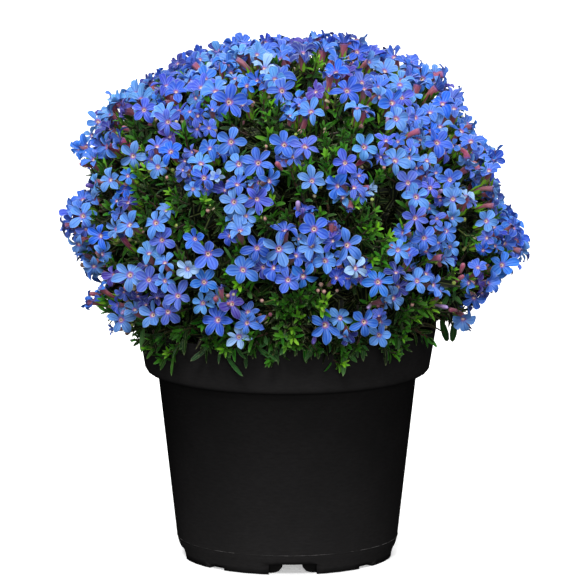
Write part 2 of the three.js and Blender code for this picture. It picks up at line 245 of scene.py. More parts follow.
# leaf: four rows of three points and a tip
LEAF_T = np.array([0.0, 0.26, 0.58, 0.86])
LEAF_W = np.array([0.5, 0.94, 1.0, 0.66])
LEAF_F = grid_faces(4, 3, True)
LEAF_UV = np.array([[c, t] for t in LEAF_T for c in (0, 0.5, 1)] + [[0.5, 1.0]])


def leaves(soup, base, stem, out, open_deg, length, width, bend, fold, tile, sag=0.0, kind="leaf"):
    """Adds leaves. stem is the stem's direction, out the side the leaf points to, open_deg the angle between leaf and stem."""
    n = len(base)
    if not n:
        return
    a = np.radians(open_deg)[:, None]
    d = unit(np.cos(a) * stem + np.sin(a) * out)
    d = unit(d + np.broadcast_to(sag, (n,))[:, None] * -UP)
    up = unit(stem - (stem * d).sum(-1, keepdims=True) * d)
    side = np.cross(d, up)
    t = np.append(LEAF_T, 1.0)
    w = np.append(LEAF_W, 0.0)
    L, W = length[:, None], width[:, None]
    mid = (
        base[:, None, :]
        + d[:, None, :] * (L * (t - 0.16 * np.abs(bend)[:, None] * t**3))[..., None]
        - up[:, None, :] * (L * bend[:, None] * t**2)[..., None]
    )
    half = (W / 2 * w)[:, :4, None]
    lift = up[:, None, :] * (W / 2 * w * fold[:, None])[:, :4, None]
    left = mid[:, :4] - side[:, None, :] * half + lift
    right = mid[:, :4] + side[:, None, :] * half + lift
    body = np.stack([left, mid[:, :4], right], 2).reshape(n, 12, 3)
    soup.add(np.concatenate([body, mid[:, 4:5]], 1), LEAF_F, LEAF_UV, tile, kind)


OLD_T = np.array([0.0, 0.45])
OLD_F = grid_faces(2, 3, True)
OLD_UV = np.array([[c, t] for t in OLD_T for c in (0, 0.5, 1)] + [[0.5, 1.0]])


def old_leaves(soup, base, d, up, length, width, tile):
    """Plain limp leaves for the inside of the plant."""
    n = len(base)
    side = unit(np.cross(d, up))
    up = np.cross(side, d)
    mid = base[:, None] + d[:, None] * (length[:, None] * np.array([0, 0.45, 1.0]))[..., None] - up[:, None] * (
        length[:, None] * np.array([0, 0.02, 0.14]))[..., None]
    half = side[:, None] * (width[:, None] / 2 * np.array([0.5, 1.0]))[..., None]
    lift = up[:, None] * (width[:, None] * np.array([0.1, 0.16]))[..., None]
    body = np.stack([mid[:, :2] - half + lift, mid[:, :2], mid[:, :2] + half + lift], 2).reshape(n, 6, 3)
    soup.add(np.concatenate([body, mid[:, 2:3]], 1), OLD_F, OLD_UV, tile, "leaf")


def rings(soup, path, radii, sides, tile, kind, closed_end=False):
    """Adds round stems. path (n, k, 3), radii (n, k) or (k,)."""
    path = np.asarray(path, float)
    n, k = path.shape[:2]
    if not n:
        return
    radii = np.broadcast_to(radii, (n, k))
    tan = unit(np.gradient(path, axis=1))
    ref = np.where(np.abs(tan[:, :1, 2:3]) > 0.9, np.array([1.0, 0.0, 0.0]), UP)
    u = unit(np.cross(tan[:, 0], ref[:, 0]))
    us = [u]
    for i in range(1, k):
        u = unit(u - (u * tan[:, i]).sum(-1, keepdims=True) * tan[:, i])
        us.append(u)
    us = np.stack(us, 1)
    vs = np.cross(tan, us)
    a = np.linspace(0, 2 * np.pi, sides + 1)
    p = (
        path[:, :, None]
        + (us[:, :, None] * np.cos(a)[:, None] + vs[:, :, None] * np.sin(a)[:, None])
        * radii[:, :, None, None]
    )
    uv = np.array([[j / sides, i / (k - 1)] for i in range(k) for j in range(sides + 1)])
    soup.add(p.reshape(n, -1, 3), grid_faces(k, sides + 1), uv, tile, kind)


def curve(a, da, b, db, count):
    """Points on a smooth curve from a to b: da and db are the handles."""
    t = np.linspace(0, 1, count)[:, None]
    p1, p2 = a + da, b - db
    return (1 - t) ** 3 * a + 3 * (1 - t) ** 2 * t * p1 + 3 * (1 - t) * t**2 * p2 + t**3 * b


# flower lobe: six rows of five points and a tip
LOBE_T = np.array([0.0, 0.17, 0.37, 0.58, 0.77, 0.92])
LOBE_C = np.array([-1, -0.55, 0, 0.55, 1])
LOBE_F = grid_faces(6, 5, True)
LOBE_UV = np.array([[(c + 1) / 2, t] for t in LOBE_T for c in LOBE_C] + [[0.5, 1.0]])


def across(n):
    """A direction square to each n."""
    ref = np.where(np.abs(n[:, 2:3]) > 0.85, np.array([1.0, 0.0, 0.0]), UP)
    return unit(np.cross(ref, n))


def corollas(soup, at, face, radius, hue, cup, spin, lobes):
    """Adds open flowers: the lobes and the throat."""
    for count in np.unique(lobes):
        pick = lobes == count
        p, n, r, h, c, s = at[pick], face[pick], radius[pick], hue[pick], cup[pick], spin[pick]
        m = len(p)
        x = across(n)
        y = np.cross(n, x)
        k = np.arange(count)
        ang = s[:, None] + k * 2 * np.pi / count + rng.normal(0, 0.07, (m, count))
        u = x[:, None] * np.cos(ang)[..., None] + y[:, None] * np.sin(ang)[..., None]
        v = np.cross(n[:, None], u)
        nn = np.broadcast_to(n[:, None], u.shape)
        size = r[:, None] * rng.normal(0.995, 0.08, (m, count))
        wide = r[:, None] * (1.54 / count) * rng.normal(1, 0.11, (m, count))
        pitch = np.clip(c[:, None] + rng.normal(0, 0.2, (m, count)), -0.3, 1.15)
        roll = rng.normal(0, 0.3, (m, count))
        curl = rng.normal(0.2, 0.16, (m, count))
        fold = rng.normal(0.5, 0.2, (m, count))
        t = LOBE_T
        prof = np.where(
            t < 0.6,
            0.36 + 0.64 * np.sin(np.pi / 2 * np.minimum(t / 0.6, 1)) ** 1.25,
            np.maximum(1 - ((t - 0.6) / 0.4) ** 2.1, 0) ** 0.85,
        )
        r0 = 0.13 * r[:, None]
        tt = np.append(t, 1.0)
        bent = pitch[..., None] - curl[..., None] * 1.6 * tt**2
        along = r0[..., None] + (size - r0)[..., None] * tt * np.cos(bent)
        rise = (size - r0)[..., None] * tt * np.sin(bent) + 0.04 * r[:, None, None] * np.sin(np.pi * tt)
        half = wide[..., None] * prof
        cc = LOBE_C
        side = half[..., None] * cc * np.cos(roll)[..., None, None]
        lift = (
            rise[..., :6, None]
            + half[..., None] * np.abs(cc) ** 1.4 * fold[..., None, None]
            + half[..., None] * cc * np.sin(roll)[..., None, None]
        )
        # the edge of a lobe waves a little
        lift = lift + (0.085 * r[:, None, None, None]) * np.sin(
            rng.uniform(0, 6.3, (m, count, 1, 1)) + t[:, None] * 5 + cc * 2.2
        ) * (t[:, None] * np.abs(cc))
        pts = (
            p[:, None, None, None]
            + u[:, :, None, None] * along[:, :, :6, None, None]
            + v[:, :, None, None] * side[..., None]
            + nn[:, :, None, None] * lift[..., None]
        )
        tip = p[:, None] + u * along[..., 6:7] + nn * rise[..., 6:7]
        verts = np.concatenate([pts.reshape(m * count, 30, 3), tip.reshape(m * count, 1, 3)], 1)
        col = rng.integers(0, 8, m)
        tile = np.stack([np.repeat(col, count), np.repeat(h, count)], -1)
        soup.add(verts, LOBE_F, LOBE_UV, tile, "petal")
        # throat: a small funnel
        rr = np.array([0.235, 0.185, 0.13, 0.075, 0.02])
        zz = np.array([0.06, 0.045, -0.02, -0.13, -0.2])
        a = np.linspace(0, 2 * np.pi, 9)
        lobe_wave = 1 + 0.1 * np.cos(a * count)
        ring = np.stack([np.cos(a), np.sin(a)], -1)
        px_ = r[:, None, None] * rr[:, None] * (1 + (lobe_wave - 1) * np.array([1, 0.6, 0.2, 0, 0])[:, None])
        pts = (
            p[:, None, None]
            + (x[:, None, None] * ring[:, :1] + y[:, None, None] * ring[:, 1:]) * px_[..., None]
            + n[:, None, None] * (r[:, None] * zz)[:, :, None, None]
        )
        uv = np.array([[j / 8, i / 4] for i in range(5) for j in range(9)])
        soup.add(
            pts.reshape(m, 45, 3), grid_faces(5, 9), uv,
            np.stack([rng.integers(0, 4, m), np.zeros(m, int)], -1), "throat",
        )


# ------------------------------------------------------------------ materials
def lin(r, g, b):
    """A colour given as 0-255 screen numbers."""
    def one(c):
        c /= 255
        return c / 12.92 if c <= 0.04045 else ((c + 0.055) / 1.055) ** 2.4
    return (one(r), one(g), one(b), 1.0)


class Mat:
    def __init__(self, name, roughness, specular, sheen=0.0, coat=0.0):
        self.m = bpy.data.materials.new(name)
        self.m.use_nodes = True
        self.t = self.m.node_tree
        self.t.nodes.clear()
        self.out = self.new("ShaderNodeOutputMaterial")
        self.b = self.new("ShaderNodeBsdfPrincipled")
        self.t.links.new(self.b.outputs[0], self.out.inputs[0])
        self.b.inputs["Roughness"].default_value = roughness
        self.b.inputs["Specular IOR Level"].default_value = specular
        self.b.inputs["Sheen Weight"].default_value = sheen
        self.b.inputs["Coat Weight"].default_value = coat

    def new(self, kind, **kw):
        n = self.t.nodes.new(kind)
        for k, v in kw.items():
            setattr(n, k, v)
        return n

    def put(self, value, socket):
        if isinstance(value, (int, float)):
            socket.default_value = value
        elif isinstance(value, tuple):
            socket.default_value = value
        else:
            self.t.links.new(value, socket)

    def math(self, op, a, b=0.0, c=0.0, clamp=False):
        n = self.new("ShaderNodeMath", operation=op, use_clamp=clamp)
        for v, s in zip((a, b, c), n.inputs):
            self.put(v, s)
        return n.outputs[0]

    def mix(self, f, a, b, blend="MIX"):
        n = self.new("ShaderNodeMix", data_type="RGBA", blend_type=blend)
        self.put(f, n.inputs[0])
        self.put(a, n.inputs[6])
        self.put(b, n.inputs[7])
        return n.outputs[2]

    def smooth(self, x, lo, hi, to_lo=0.0, to_hi=1.0):
        n = self.new("ShaderNodeMapRange", interpolation_type="SMOOTHSTEP")
        for v, s in zip((x, lo, hi, to_lo, to_hi), n.inputs):
            self.put(v, s)
        return n.outputs[0]

    def ramp(self, f, stops, steps=False):
        n = self.new("ShaderNodeValToRGB")
        r = n.color_ramp
        r.interpolation = "CONSTANT" if steps else "LINEAR"
        while len(r.elements) < len(stops):
            r.elements.new(0.5)
        for e, (pos, col) in zip(r.elements, stops):
            e.position, e.color = pos, col
        self.put(f, n.inputs[0])
        return n.outputs[0]

    def xyz(self, x, y, z=0.0):
        n = self.new("ShaderNodeCombineXYZ")
        for v, s in zip((x, y, z), n.inputs):
            self.put(v, s)
        return n.outputs[0]

    def noise(self, vec, scale, detail=2.0, rough=0.5):
        n = self.new("ShaderNodeTexNoise")
        self.put(vec, n.inputs["Vector"])
        n.inputs["Scale"].default_value = scale
        n.inputs["Detail"].default_value = detail
        n.inputs["Roughness"].default_value = rough
        return n.outputs["Fac"]

    def random(self, vec):
        n = self.new("ShaderNodeTexWhiteNoise", noise_dimensions="3D")
        self.put(vec, n.inputs["Vector"])
        s = self.new("ShaderNodeSeparateColor")
        self.t.links.new(n.outputs["Color"], s.inputs[0])
        return s.outputs

    def vary(self, colour, hue, sat, val):
        n = self.new("ShaderNodeHueSaturation")
        self.put(hue, n.inputs["Hue"])
        self.put(sat, n.inputs["Saturation"])
        self.put(val, n.inputs["Value"])
        self.put(colour, n.inputs["Color"])
        return n.outputs[0]

    def tiles(self):
        """(tile x, tile y, place in the tile across, along) from the map."""
        n = self.new("ShaderNodeUVMap", uv_map="UVMap")
        s = self.new("ShaderNodeSeparateXYZ")
        self.t.links.new(n.outputs[0], s.inputs[0])
        u, v = s.outputs[0], s.outputs[1]
        tx, ty = self.math("FLOOR", u), self.math("FLOOR", v)
        lx = self.math("DIVIDE", self.math("SUBTRACT", self.math("FRACT", u), 0.05), 0.9)
        ly = self.math("DIVIDE", self.math("SUBTRACT", self.math("FRACT", v), 0.05), 0.9)
        return tx, ty, lx, ly

    def colour(self, c):
        self.put(c, self.b.inputs["Base Color"])

    def rough(self, r):
        self.put(r, self.b.inputs["Roughness"])

    def bump(self, height, strength, distance):
        n = self.new("ShaderNodeBump")
        n.inputs["Strength"].default_value = strength
        n.inputs["Distance"].default_value = distance
        self.put(height, n.inputs["Height"])
        self.t.links.new(n.outputs[0], self.b.inputs["Normal"])


HUES = {
    "d": (38, 38, 144), "c-": (34, 76, 196), "a-": (16, 84, 198), "v": (80, 60, 176), "p": (66, 86, 210),
    "c": (54, 110, 220), "a": (18, 112, 226), "s": (84, 146, 224), "s+": (150, 186, 234),
}
ORDER = list(HUES)


def petal_material():
    m = Mat("petal_blue", 0.45, 0.2)
    tx, ty, lx, ly = m.tiles()
    base = m.ramp(
        m.math("DIVIDE", m.math("ADD", ty, 0.5), 9.0),
        [(i / 9, lin(*HUES[k])) for i, k in enumerate(ORDER)], steps=True,
    )
    r = m.random(m.xyz(tx, ty, 3.0))
    base = m.vary(
        base,
        m.math("ADD", 0.490, m.math("MULTIPLY", r[0], 0.02)),
        m.math("ADD", 0.945, m.math("MULTIPLY", r[1], 0.06)),
        m.math("ADD", 0.85, m.math("MULTIPLY", r[2], 0.22)),
    )
    off = m.math("ABSOLUTE", m.math("SUBTRACT", m.math("MULTIPLY", lx, 2.0), 1.0))
    # fine streaks along the lobe
    streak = m.noise(m.xyz(m.math("ADD", m.math("MULTIPLY", lx, 16.0), m.math("MULTIPLY", tx, 7.3)), m.math("MULTIPLY", ly, 1.6), ty), 1.0, 3.0, 0.6)
    dark = m.mix(1.0, base, (0.34, 0.36, 0.6, 1), "MULTIPLY")
    pale = m.mix(0.42, base, (0.43, 0.68, 0.80, 1))
    # painted highlight: the lobe's margins are paled towards the tip, standing in for light caught on the folded edges
    edge = m.math("MULTIPLY", m.smooth(off, 0.70, 0.98), m.smooth(ly, 0.15, 0.6, 0.1, 0.8))
    band = m.math("MULTIPLY", m.smooth(m.math("ABSOLUTE", m.math("SUBTRACT", off, 0.36)), 0.06, 0.30, 1.0, 0.0), m.smooth(ly, 0.12, 0.55, 1.0, 0.25))
    tip = m.smooth(ly, 0.88, 1.0, 0.0, 0.5)
    col = m.mix(m.math("MULTIPLY", m.math("MAXIMUM", m.math("MAXIMUM", edge, band), tip), 0.7), base, pale)
    vein = m.math("MULTIPLY", m.math("SUBTRACT", 1.0, m.smooth(off, 0.03, 0.16)), m.smooth(ly, 0.6, 1.0, 1.0, 0.1))
    side = m.math("ABSOLUTE", m.math("SUBTRACT", off, m.smooth(ly, 0.0, 0.8, 0.30, 0.58)))
    side = m.math("MULTIPLY", m.math("SUBTRACT", 1.0, m.smooth(side, 0.02, 0.11)), m.smooth(ly, 0.3, 0.8, 0.5, 0.0))
    col = m.mix(m.math("MULTIPLY", m.math("MAXIMUM", vein, side), 0.66), col, dark)
    col = m.mix(m.smooth(streak, 0.35, 0.75, 0.0, 0.26), col, dark)
    # painted highlight: a whiter line along the very margin of the lobe
    rim = m.math("MULTIPLY", m.smooth(off, 0.86, 1.0, 0.0, 0.5), m.smooth(ly, 0.25, 0.6))
    col = m.mix(rim, col, m.mix(0.5, base, (0.70, 0.82, 0.90, 1)))
    # violet flush and pink ring at the foot of the lobe
    col = m.mix(m.smooth(ly, 0.02, 0.30, 0.4, 0.0), col, lin(104, 100, 208))
    col = m.mix(m.smooth(ly, 0.0, 0.12, 0.5, 0.0), col, lin(138, 108, 184))
    m.colour(col)
    m.rough(m.smooth(streak, 0.2, 0.8, 0.36, 0.58))
    m.bump(m.math("SUBTRACT", m.math("MULTIPLY", streak, 0.6), m.math("MULTIPLY", vein, 0.9)), 0.35, 0.0002)
    return m.m


def throat_material():
    m = Mat("throat", 0.5, 0.3)
    tx, ty, lx, ly = m.tiles()
    n = m.noise(m.xyz(m.math("MULTIPLY", lx, 10.0), m.math("MULTIPLY", ly, 2.0), tx), 1.6, 2.0)
    y = m.math("ADD", ly, m.math("MULTIPLY", m.math("SUBTRACT", n, 0.5), 0.42))
    col = m.ramp(
        y,
        [
            (0.0, lin(108, 104, 208)), (0.16, lin(140, 110, 184)), (0.34, lin(160, 100, 136)), (0.5, lin(178, 124, 138)),
            (0.62, lin(226, 214, 206)), (0.8, lin(214, 200, 186)), (0.92, lin(140, 88, 86)), (1.0, lin(66, 34, 46)),
        ],
    )
    m.colour(col)
    m.bump(n, 0.4, 0.0002)
    return m.m


def tube_material():
    m = Mat("flower_tube", 0.6, 0.25, sheen=0.25)
    tx, ty, lx, ly = m.tiles()
    r = m.random(m.xyz(tx, 5.0, 1.0))
    col = m.ramp(ly, [(0.0, lin(112, 82, 172)), (0.14, lin(146, 66, 108)), (0.45, lin(158, 66, 92)), (0.8, lin(128, 44, 64)), (1.0, lin(116, 66, 46))])
    col = m.vary(col, m.math("ADD", 0.49, m.math("MULTIPLY", r[0], 0.03)), m.math("ADD", 0.7, m.math("MULTIPLY", r[1], 0.45)), m.math("ADD", 0.55, m.math("MULTIPLY", r[2], 0.65)))
    n = m.noise(m.xyz(m.math("MULTIPLY", lx, 14.0), m.math("MULTIPLY", ly, 3.0), tx), 1.5, 3.0)
    col = m.mix(m.smooth(n, 0.4, 0.75, 0.0, 0.45), col, lin(200, 134, 146))
    m.colour(col)
    m.rough(m.smooth(n, 0.2, 0.8, 0.5, 0.7))
    m.bump(n, 0.4, 0.0002)
    return m.m


def bud_material():
    m = Mat("bud", 0.5, 0.3, sheen=0.2)
    tx, ty, lx, ly = m.tiles()
    base = m.ramp(
        m.math("DIVIDE", m.math("ADD", tx, 0.5), 8.0),
        [
            (0.0, lin(206, 200, 158)), (0.125, lin(176, 128, 118)), (0.25, lin(146, 170, 62)), (0.375, lin(172, 98, 124)),
            (0.5, lin(160, 72, 104)), (0.625, lin(172, 146, 212)), (0.75, lin(122, 88, 76)), (0.875, lin(70, 52, 160)),
        ],
        steps=True,
    )
    foot = m.mix(1.0, base, (0.62, 0.42, 0.45, 1), "MULTIPLY")
    col = m.mix(m.smooth(ly, 0.0, 0.75), foot, base)
    n = m.noise(m.xyz(m.math("MULTIPLY", lx, 8.0), m.math("MULTIPLY", ly, 3.0), tx), 1.6, 2.0)
    col = m.mix(m.smooth(n, 0.4, 0.8, 0.0, 0.22), col, (0.85, 0.8, 0.75, 1))
    m.colour(col)
    m.rough(m.smooth(n, 0.2, 0.8, 0.42, 0.6))
    m.bump(n, 0.35, 0.0002)
    return m.m


# leaf tones by row: 0 to 5 run from the light green of young tips to near black, the darker steps serving as painted
# shade for leaves deep in the plant; 6 and 7 grey-green; 8 near black, painted shade for the leaves inside; 9 dead
# brown
LEAF_TONES = [
    (114, 178, 20), (70, 148, 4), (38, 116, 3), (21, 82, 3), (9, 48, 3), (4, 26, 3), (52, 100, 48), (29, 68, 32),
    (6, 14, 5), (22, 17, 10),
]


def leaf_material(name="leaf_green"):
    m = Mat(name, 0.6, 0.14)
    tx, ty, lx, ly = m.tiles()
    base = m.ramp(
        m.math("DIVIDE", m.math("ADD", ty, 0.5), 10.0),
        [(i / 10, lin(*c)) for i, c in enumerate(LEAF_TONES)], steps=True,
    )
    r = m.random(m.xyz(tx, ty, 1.0))
    base = m.vary(
        base,
        m.math("ADD", 0.485, m.math("MULTIPLY", r[0], 0.03)),
        m.math("ADD", 0.93, m.math("MULTIPLY", r[1], 0.08)),
        m.math("ADD", 0.74, m.math("MULTIPLY", r[2], 0.5)),
    )
    off = m.math("ABSOLUTE", m.math("SUBTRACT", m.math("MULTIPLY", lx, 2.0), 1.0))
    n = m.noise(m.xyz(m.math("ADD", m.math("MULTIPLY", lx, 5.0), m.math("MULTIPLY", tx, 3.1)), m.math("MULTIPLY", ly, 9.0), ty), 1.3, 3.0, 0.6)
    rib = m.math("SUBTRACT", 1.0, m.smooth(off, 0.03, 0.2))
    hair = m.math("MULTIPLY", m.smooth(off, 0.66, 1.0), m.smooth(n, 0.42, 0.6))
    paler = m.mix(0.22, base, lin(176, 196, 110))
    col = m.mix(m.math("MULTIPLY", rib, m.smooth(ly, 0.6, 1.0, 0.7, 0.1)), base, paler)
    col = m.mix(m.math("MULTIPLY", hair, 0.7), col, m.mix(0.3, base, lin(204, 214, 150)))
    col = m.mix(m.smooth(ly, 0.84, 1.0, 0.0, 0.6), col, m.mix(0.34, base, lin(206, 220, 158)))
    shade = m.mix(1.0, base, (0.5, 0.56, 0.45, 1), "MULTIPLY")
    col = m.mix(m.smooth(n, 0.45, 0.7, 0.0, 0.45), col, shade)
    col = m.mix(m.smooth(ly, 0.0, 0.3, 0.55, 0.0), col, shade)
    m.colour(col)
    m.rough(m.smooth(n, 0.2, 0.8, 0.44, 0.68))
    m.bump(m.math("ADD", m.math("MULTIPLY", n, 0.7), m.math("MULTIPLY", rib, -0.8)), 0.5, 0.0002)
    return m.m


def stem_material():
    m = Mat("stem", 0.7, 0.2, sheen=0.1)
    tx, ty, lx, ly = m.tiles()
    base = m.ramp(
        m.math("DIVIDE", m.math("ADD", tx, 0.5), 4.0),
        [(0.0, lin(60, 42, 30)), (0.25, lin(72, 52, 32)), (0.5, lin(64, 62, 28)), (0.75, lin(84, 100, 40))], steps=True,
    )
    n = m.noise(m.xyz(m.math("MULTIPLY", lx, 6.0), m.math("MULTIPLY", ly, 40.0), tx), 1.4, 4.0, 0.6)
    col = m.mix(m.smooth(n, 0.35, 0.7, 0.0, 0.65), base, m.mix(1.0, base, (0.3, 0.28, 0.26, 1), "MULTIPLY"))
    m.colour(col)
    m.rough(m.smooth(n, 0.2, 0.8, 0.6, 0.85))
    m.bump(n, 0.6, 0.0004)
    return m.m


PETAL, THROAT, TUBE, BUD = petal_material(), throat_material(), tube_material(), bud_material()
LEAF, STEM = leaf_material(), stem_material()
# kind: (material slot, region of the bake map, tiles across and up)
BLOOM = {
    "petal": (0, (0, 0.30, 1, 1), (8, 9)),
    "throat": (1, (0, 0.22, 0.5, 0.29), (4, 1)),
    "tube": (2, (0, 0.12, 1, 0.21), (8, 1)),
    "bud": (3, (0, 0.0, 1, 0.11), (8, 1)),
    "leaf": (4, (0.5, 0.22, 1, 0.29), (8, 1)),
    "stem": (5, (0, 0.212, 1, 0.218), (4, 1)),
}
BLOOM_MATS = [PETAL, THROAT, TUBE, BUD, LEAF, STEM]
GREEN = {"leaf": (0, (0, 0.1, 1, 1), (8, 10)), "stem": (1, (0, 0, 1, 0.09), (4, 1))}
GREEN_MATS = [LEAF, STEM]

# ------------------------------------------------------------------ branches, as in the frame
tips = []
for count, el, offset, swing in ((10, 15, -90, 5), (8, 38, -78, 4), (5, 63, -104, 3), (1, 87, 20, 0)):
    for k in range(count):
        tips.append((offset + k * 360 / count, el + (swing if k % 2 else -swing)))


def away(az, el):
    a, e = math.radians(az), math.radians(el)
    return np.array([math.cos(e) * math.cos(a), math.cos(e) * math.sin(a), math.sin(e)])


trunks, headings = [], []
for az, el in tips:
    start = AXIS + np.array([0, 0, 0.108]) + away(az, 12 if el < 28 else 37 if el < 50 else el) * 0.0095
    end = hull(az, el, 0.030)
    span = np.linalg.norm(end - start)
    first = away(az, 17 + (el - 10) * 0.8 if el < 28 else el + 6)
    last = away(az, el - (12 if el < 28 else 6))
    trunks.append(curve(start, first * span * 0.4, end, last * span * 0.35, 25))
    headings.append(unit(hull(az, el, 0.0) - HEART))
headings = np.array(headings)


def branch_of(p):
    """The branch whose head a place belongs to."""
    return np.argmax(unit(np.asarray(p) - HEART) @ headings.T, -1)


# ------------------------------------------------------------------ flowers
# Flowers seen from the front, measured: x y radius tone tilt side-it-faces
SEEN = """
115 99 12 c 2 N|98 122 13 s 0|90 134 9 s 1 W|144 110 13 p 0|138 91 12 a 1 N|152 83 10 s 3 N|165 103 9 a 1 W|168 122 13 p 0|176 92 12 c 1 N|164 82 8 d 1 N|178 64 10 d 1 NW|
233 47 13 a 1 N|219 53 11 s 1 N|200 60 11 s 1 N|184 64 11 c 1 NW|205 79 13 a 1 N|235 79 10 s 1 N|218 84 9 s 0|229 102 17 c 0|196 98 10 s 1 W|247 86 10 a 0|266 85 10 c 1 N|257 55 11 s 1 N|270 45 11 c 1 N|282 47 10 c 1 N|291 45 8 d 2 N|301 46 8 a 2 N|282 91 15 c 0|279 79 16 c 1 N|197 129 10 p 1 S|209 128 9 p 0|190 112 9 c 1 N|212 110 9 c 1 N|284 104 8 s 1 N|290 116 9 s 2 N|301 108 9 s 2 N|
319 38 14 s 2 N|335 33 8 d 2 NE|347 36 10 d 2 N|359 42 11 s 2 E|340 51 12 s 1 S|357 52 12 c 0|369 62 11 s 1 E|352 67 11 p 1 S|336 73 13 a 1 N|347 91 15 c 0|362 83 12 p 0|377 80 13 c 2 N|379 97 11 s 1 E|391 52 11 d 2 N|384 63 9 d 3 NW|409 63 13 c 1 N|401 81 13 s 0|422 79 15 a 0|402 98 12 p 0|316 92 11 v 1 N|357 109 13 s 2 N|396 119 14 s 0|311 112 13 s 1 N|299 105 9 c 1 N|414 112 11 c 2 E|407 118 10 p 1 E|420 131 11 s 2 E|386 141 11 p 1 N|299 99 9 a 1 W|
443 74 13 c 2 E|457 93 10 a 2 E|454 109 14 c 1 N|442 103 7 a 2 W|472 127 9 a 2 E|430 113 13 c 1 N|440 127 12 s 1 N|
86 147 13 a 0|98 141 10 a 1 N|75 146 9 a 1 W|114 138 8 d 2 W|133 156 13 s 0|171 152 13 a 0|157 147 12 c 1 N|158 167 12 s 0|183 170 8 p 1 W|111 180 12 s 1 W|128 176 9 a 0|125 188 9 a 1 S|96 182 9 s 2 W|128 203 10 d 1 N|117 201 9 a 1 W|83 200 12 a 1 N|72 205 10 c 2 W|83 216 14 s 0|65 226 11 d 2 W|86 229 10 p 1 S|101 236 13 a 0|79 244 12 s 1 S|130 225 14 s 0|117 229 12 s 1 W|156 223 14 s 0|166 211 10 s 1 N|162 240 13 p 0|
231 142 15 c 0|210 149 12 c 1 N|201 164 13 s 1 N|192 152 8 p 1 W|185 161 9 d 1 W|184 176 9 d 1 W|204 178 13 c 0|217 177 8 s+ 0|193 189 9 s 0|207 189 9 p 1 S|239 164 14 s 0|258 163 15 c 0|269 181 13 c 1 E|234 202 14 s 0|237 185 12 c 1 N|257 199 13 p 0|251 184 8 s 2 N|246 216 10 s 0|233 219 10 s 1 N|240 231 14 s 1 N|195 239 12 a 0|285 231 13 a- 1 N|279 249 16 s 0|257 248 13 a- 0|284 145 14 a 0|293 157 11 c 0|
305 147 15 p 0|312 181 14 s 0|345 163 13 p 0|364 147 14 s 0|381 157 9 p 1 W|398 142 9 a 1 N|395 161 14 s 0|409 158 11 s 1 E|411 150 10 c 1 N|410 163 6 d 2 S|408 183 13 p 0|338 186 14 a 1 W|354 188 13 p 1 N|359 176 10 p 1 N|369 188 10 s+ 2 E|314 229 16 c 0|312 246 15 s 0|299 239 7 s 1 W|333 241 11 c- 1 W|331 223 6 p 2 N|338 229 6 p 2 E|347 245 15 c 0|311 213 7 a 2 N|416 197 14 s 0|415 218 13 p 0|403 233 11 c 1 W|398 250 12 s 0|350 209 5 p 2 S|
437 143 14 c 0|453 146 9 c 1 W|462 150 8 c 1 E|471 142 13 c 1 N|467 159 12 s 2 S|478 170 9 s 2 S|495 153 10 a 2 E|489 171 12 c 1 N|482 177 8 p 2 W|427 161 11 s 1 N|417 168 10 a 1 W|436 173 9 c 1 N|430 188 12 p 0|450 180 13 c 0|453 199 13 s 0|456 190 9 s 1 N|466 196 10 s+ 2 N|493 189 10 s 2 E|494 206 10 p 2 E|429 208 10 s 1 S|440 200 9 c- 1 S|437 219 9 p 1 N|452 218 10 s 1 E|446 231 11 c 0|424 238 13 c 0|450 247 10 s 0|486 221 12 s 0|494 227 9 a 1 E|487 238 10 p 1 W|483 250 9 a 1 S|495 246 9 a 1 E|512 224 13 a 1 N|516 241 14 c 0|526 240 8 a 1 E|523 251 11 s 2 E|
102 254 12 s 1 E|94 266 12 s 1 S|149 254 13 s 1 N|165 263 11 s 1 N|165 281 11 s 0|130 275 16 s 0|114 275 11 v 1 W|149 280 14 p 0|146 266 8 d 1 N|124 292 9 p 1 S|138 296 10 d 1 S|101 288 8 a 2 NW|80 302 9 a 2 W|118 305 9 p 1 W|135 310 12 s 1 N|121 320 14 s 0|114 329 7 c 2 W|153 315 14 s 0|146 305 9 d 1 N|157 298 9 d 1 N|168 312 13 p 0|178 296 14 p 0|
208 254 16 c 0|188 269 12 s+ 0|204 282 14 a 0|203 303 12 s 0|243 270 15 c 0|232 304 14 v 0|218 320 16 c 0|247 323 12 c 0|239 337 13 s+ 0|221 288 6 d 2 N|288 280 14 c 0|274 268 13 c 1 W|257 256 12 a- 1 S|
303 276 14 a 0|313 262 10 p 1 N|325 261 13 s 0|340 271 13 c- 1 S|355 268 13 s+ 1 E|378 282 15 a 0|396 273 11 d 1 N|393 298 13 s 1 E|417 281 12 s 0|325 325 16 c 0|340 318 12 s 0|345 336 9 s 2 S|364 322 14 c 0|379 335 12 s 0|379 316 8 p 1 N|408 256 12 p 1 N|
433 285 11 c 1 E|443 258 13 s 1 E|426 251 11 c 1 S|469 283 11 c 1 W|478 268 11 c 1 N|488 283 12 c 1 E|474 298 11 a 1 S|482 293 8 d 1 S|502 265 14 a 0|463 319 13 s 1 S|472 328 6 d 2 S
"""
WAYS = {"N": (0, 1), "S": (0, -1), "E": (1, 0), "W": (-1, 0), "NE": (0.7, 0.7), "NW": (-0.7, 0.7), "SE": (0.7, -0.7), "SW": (-0.7, -0.7)}
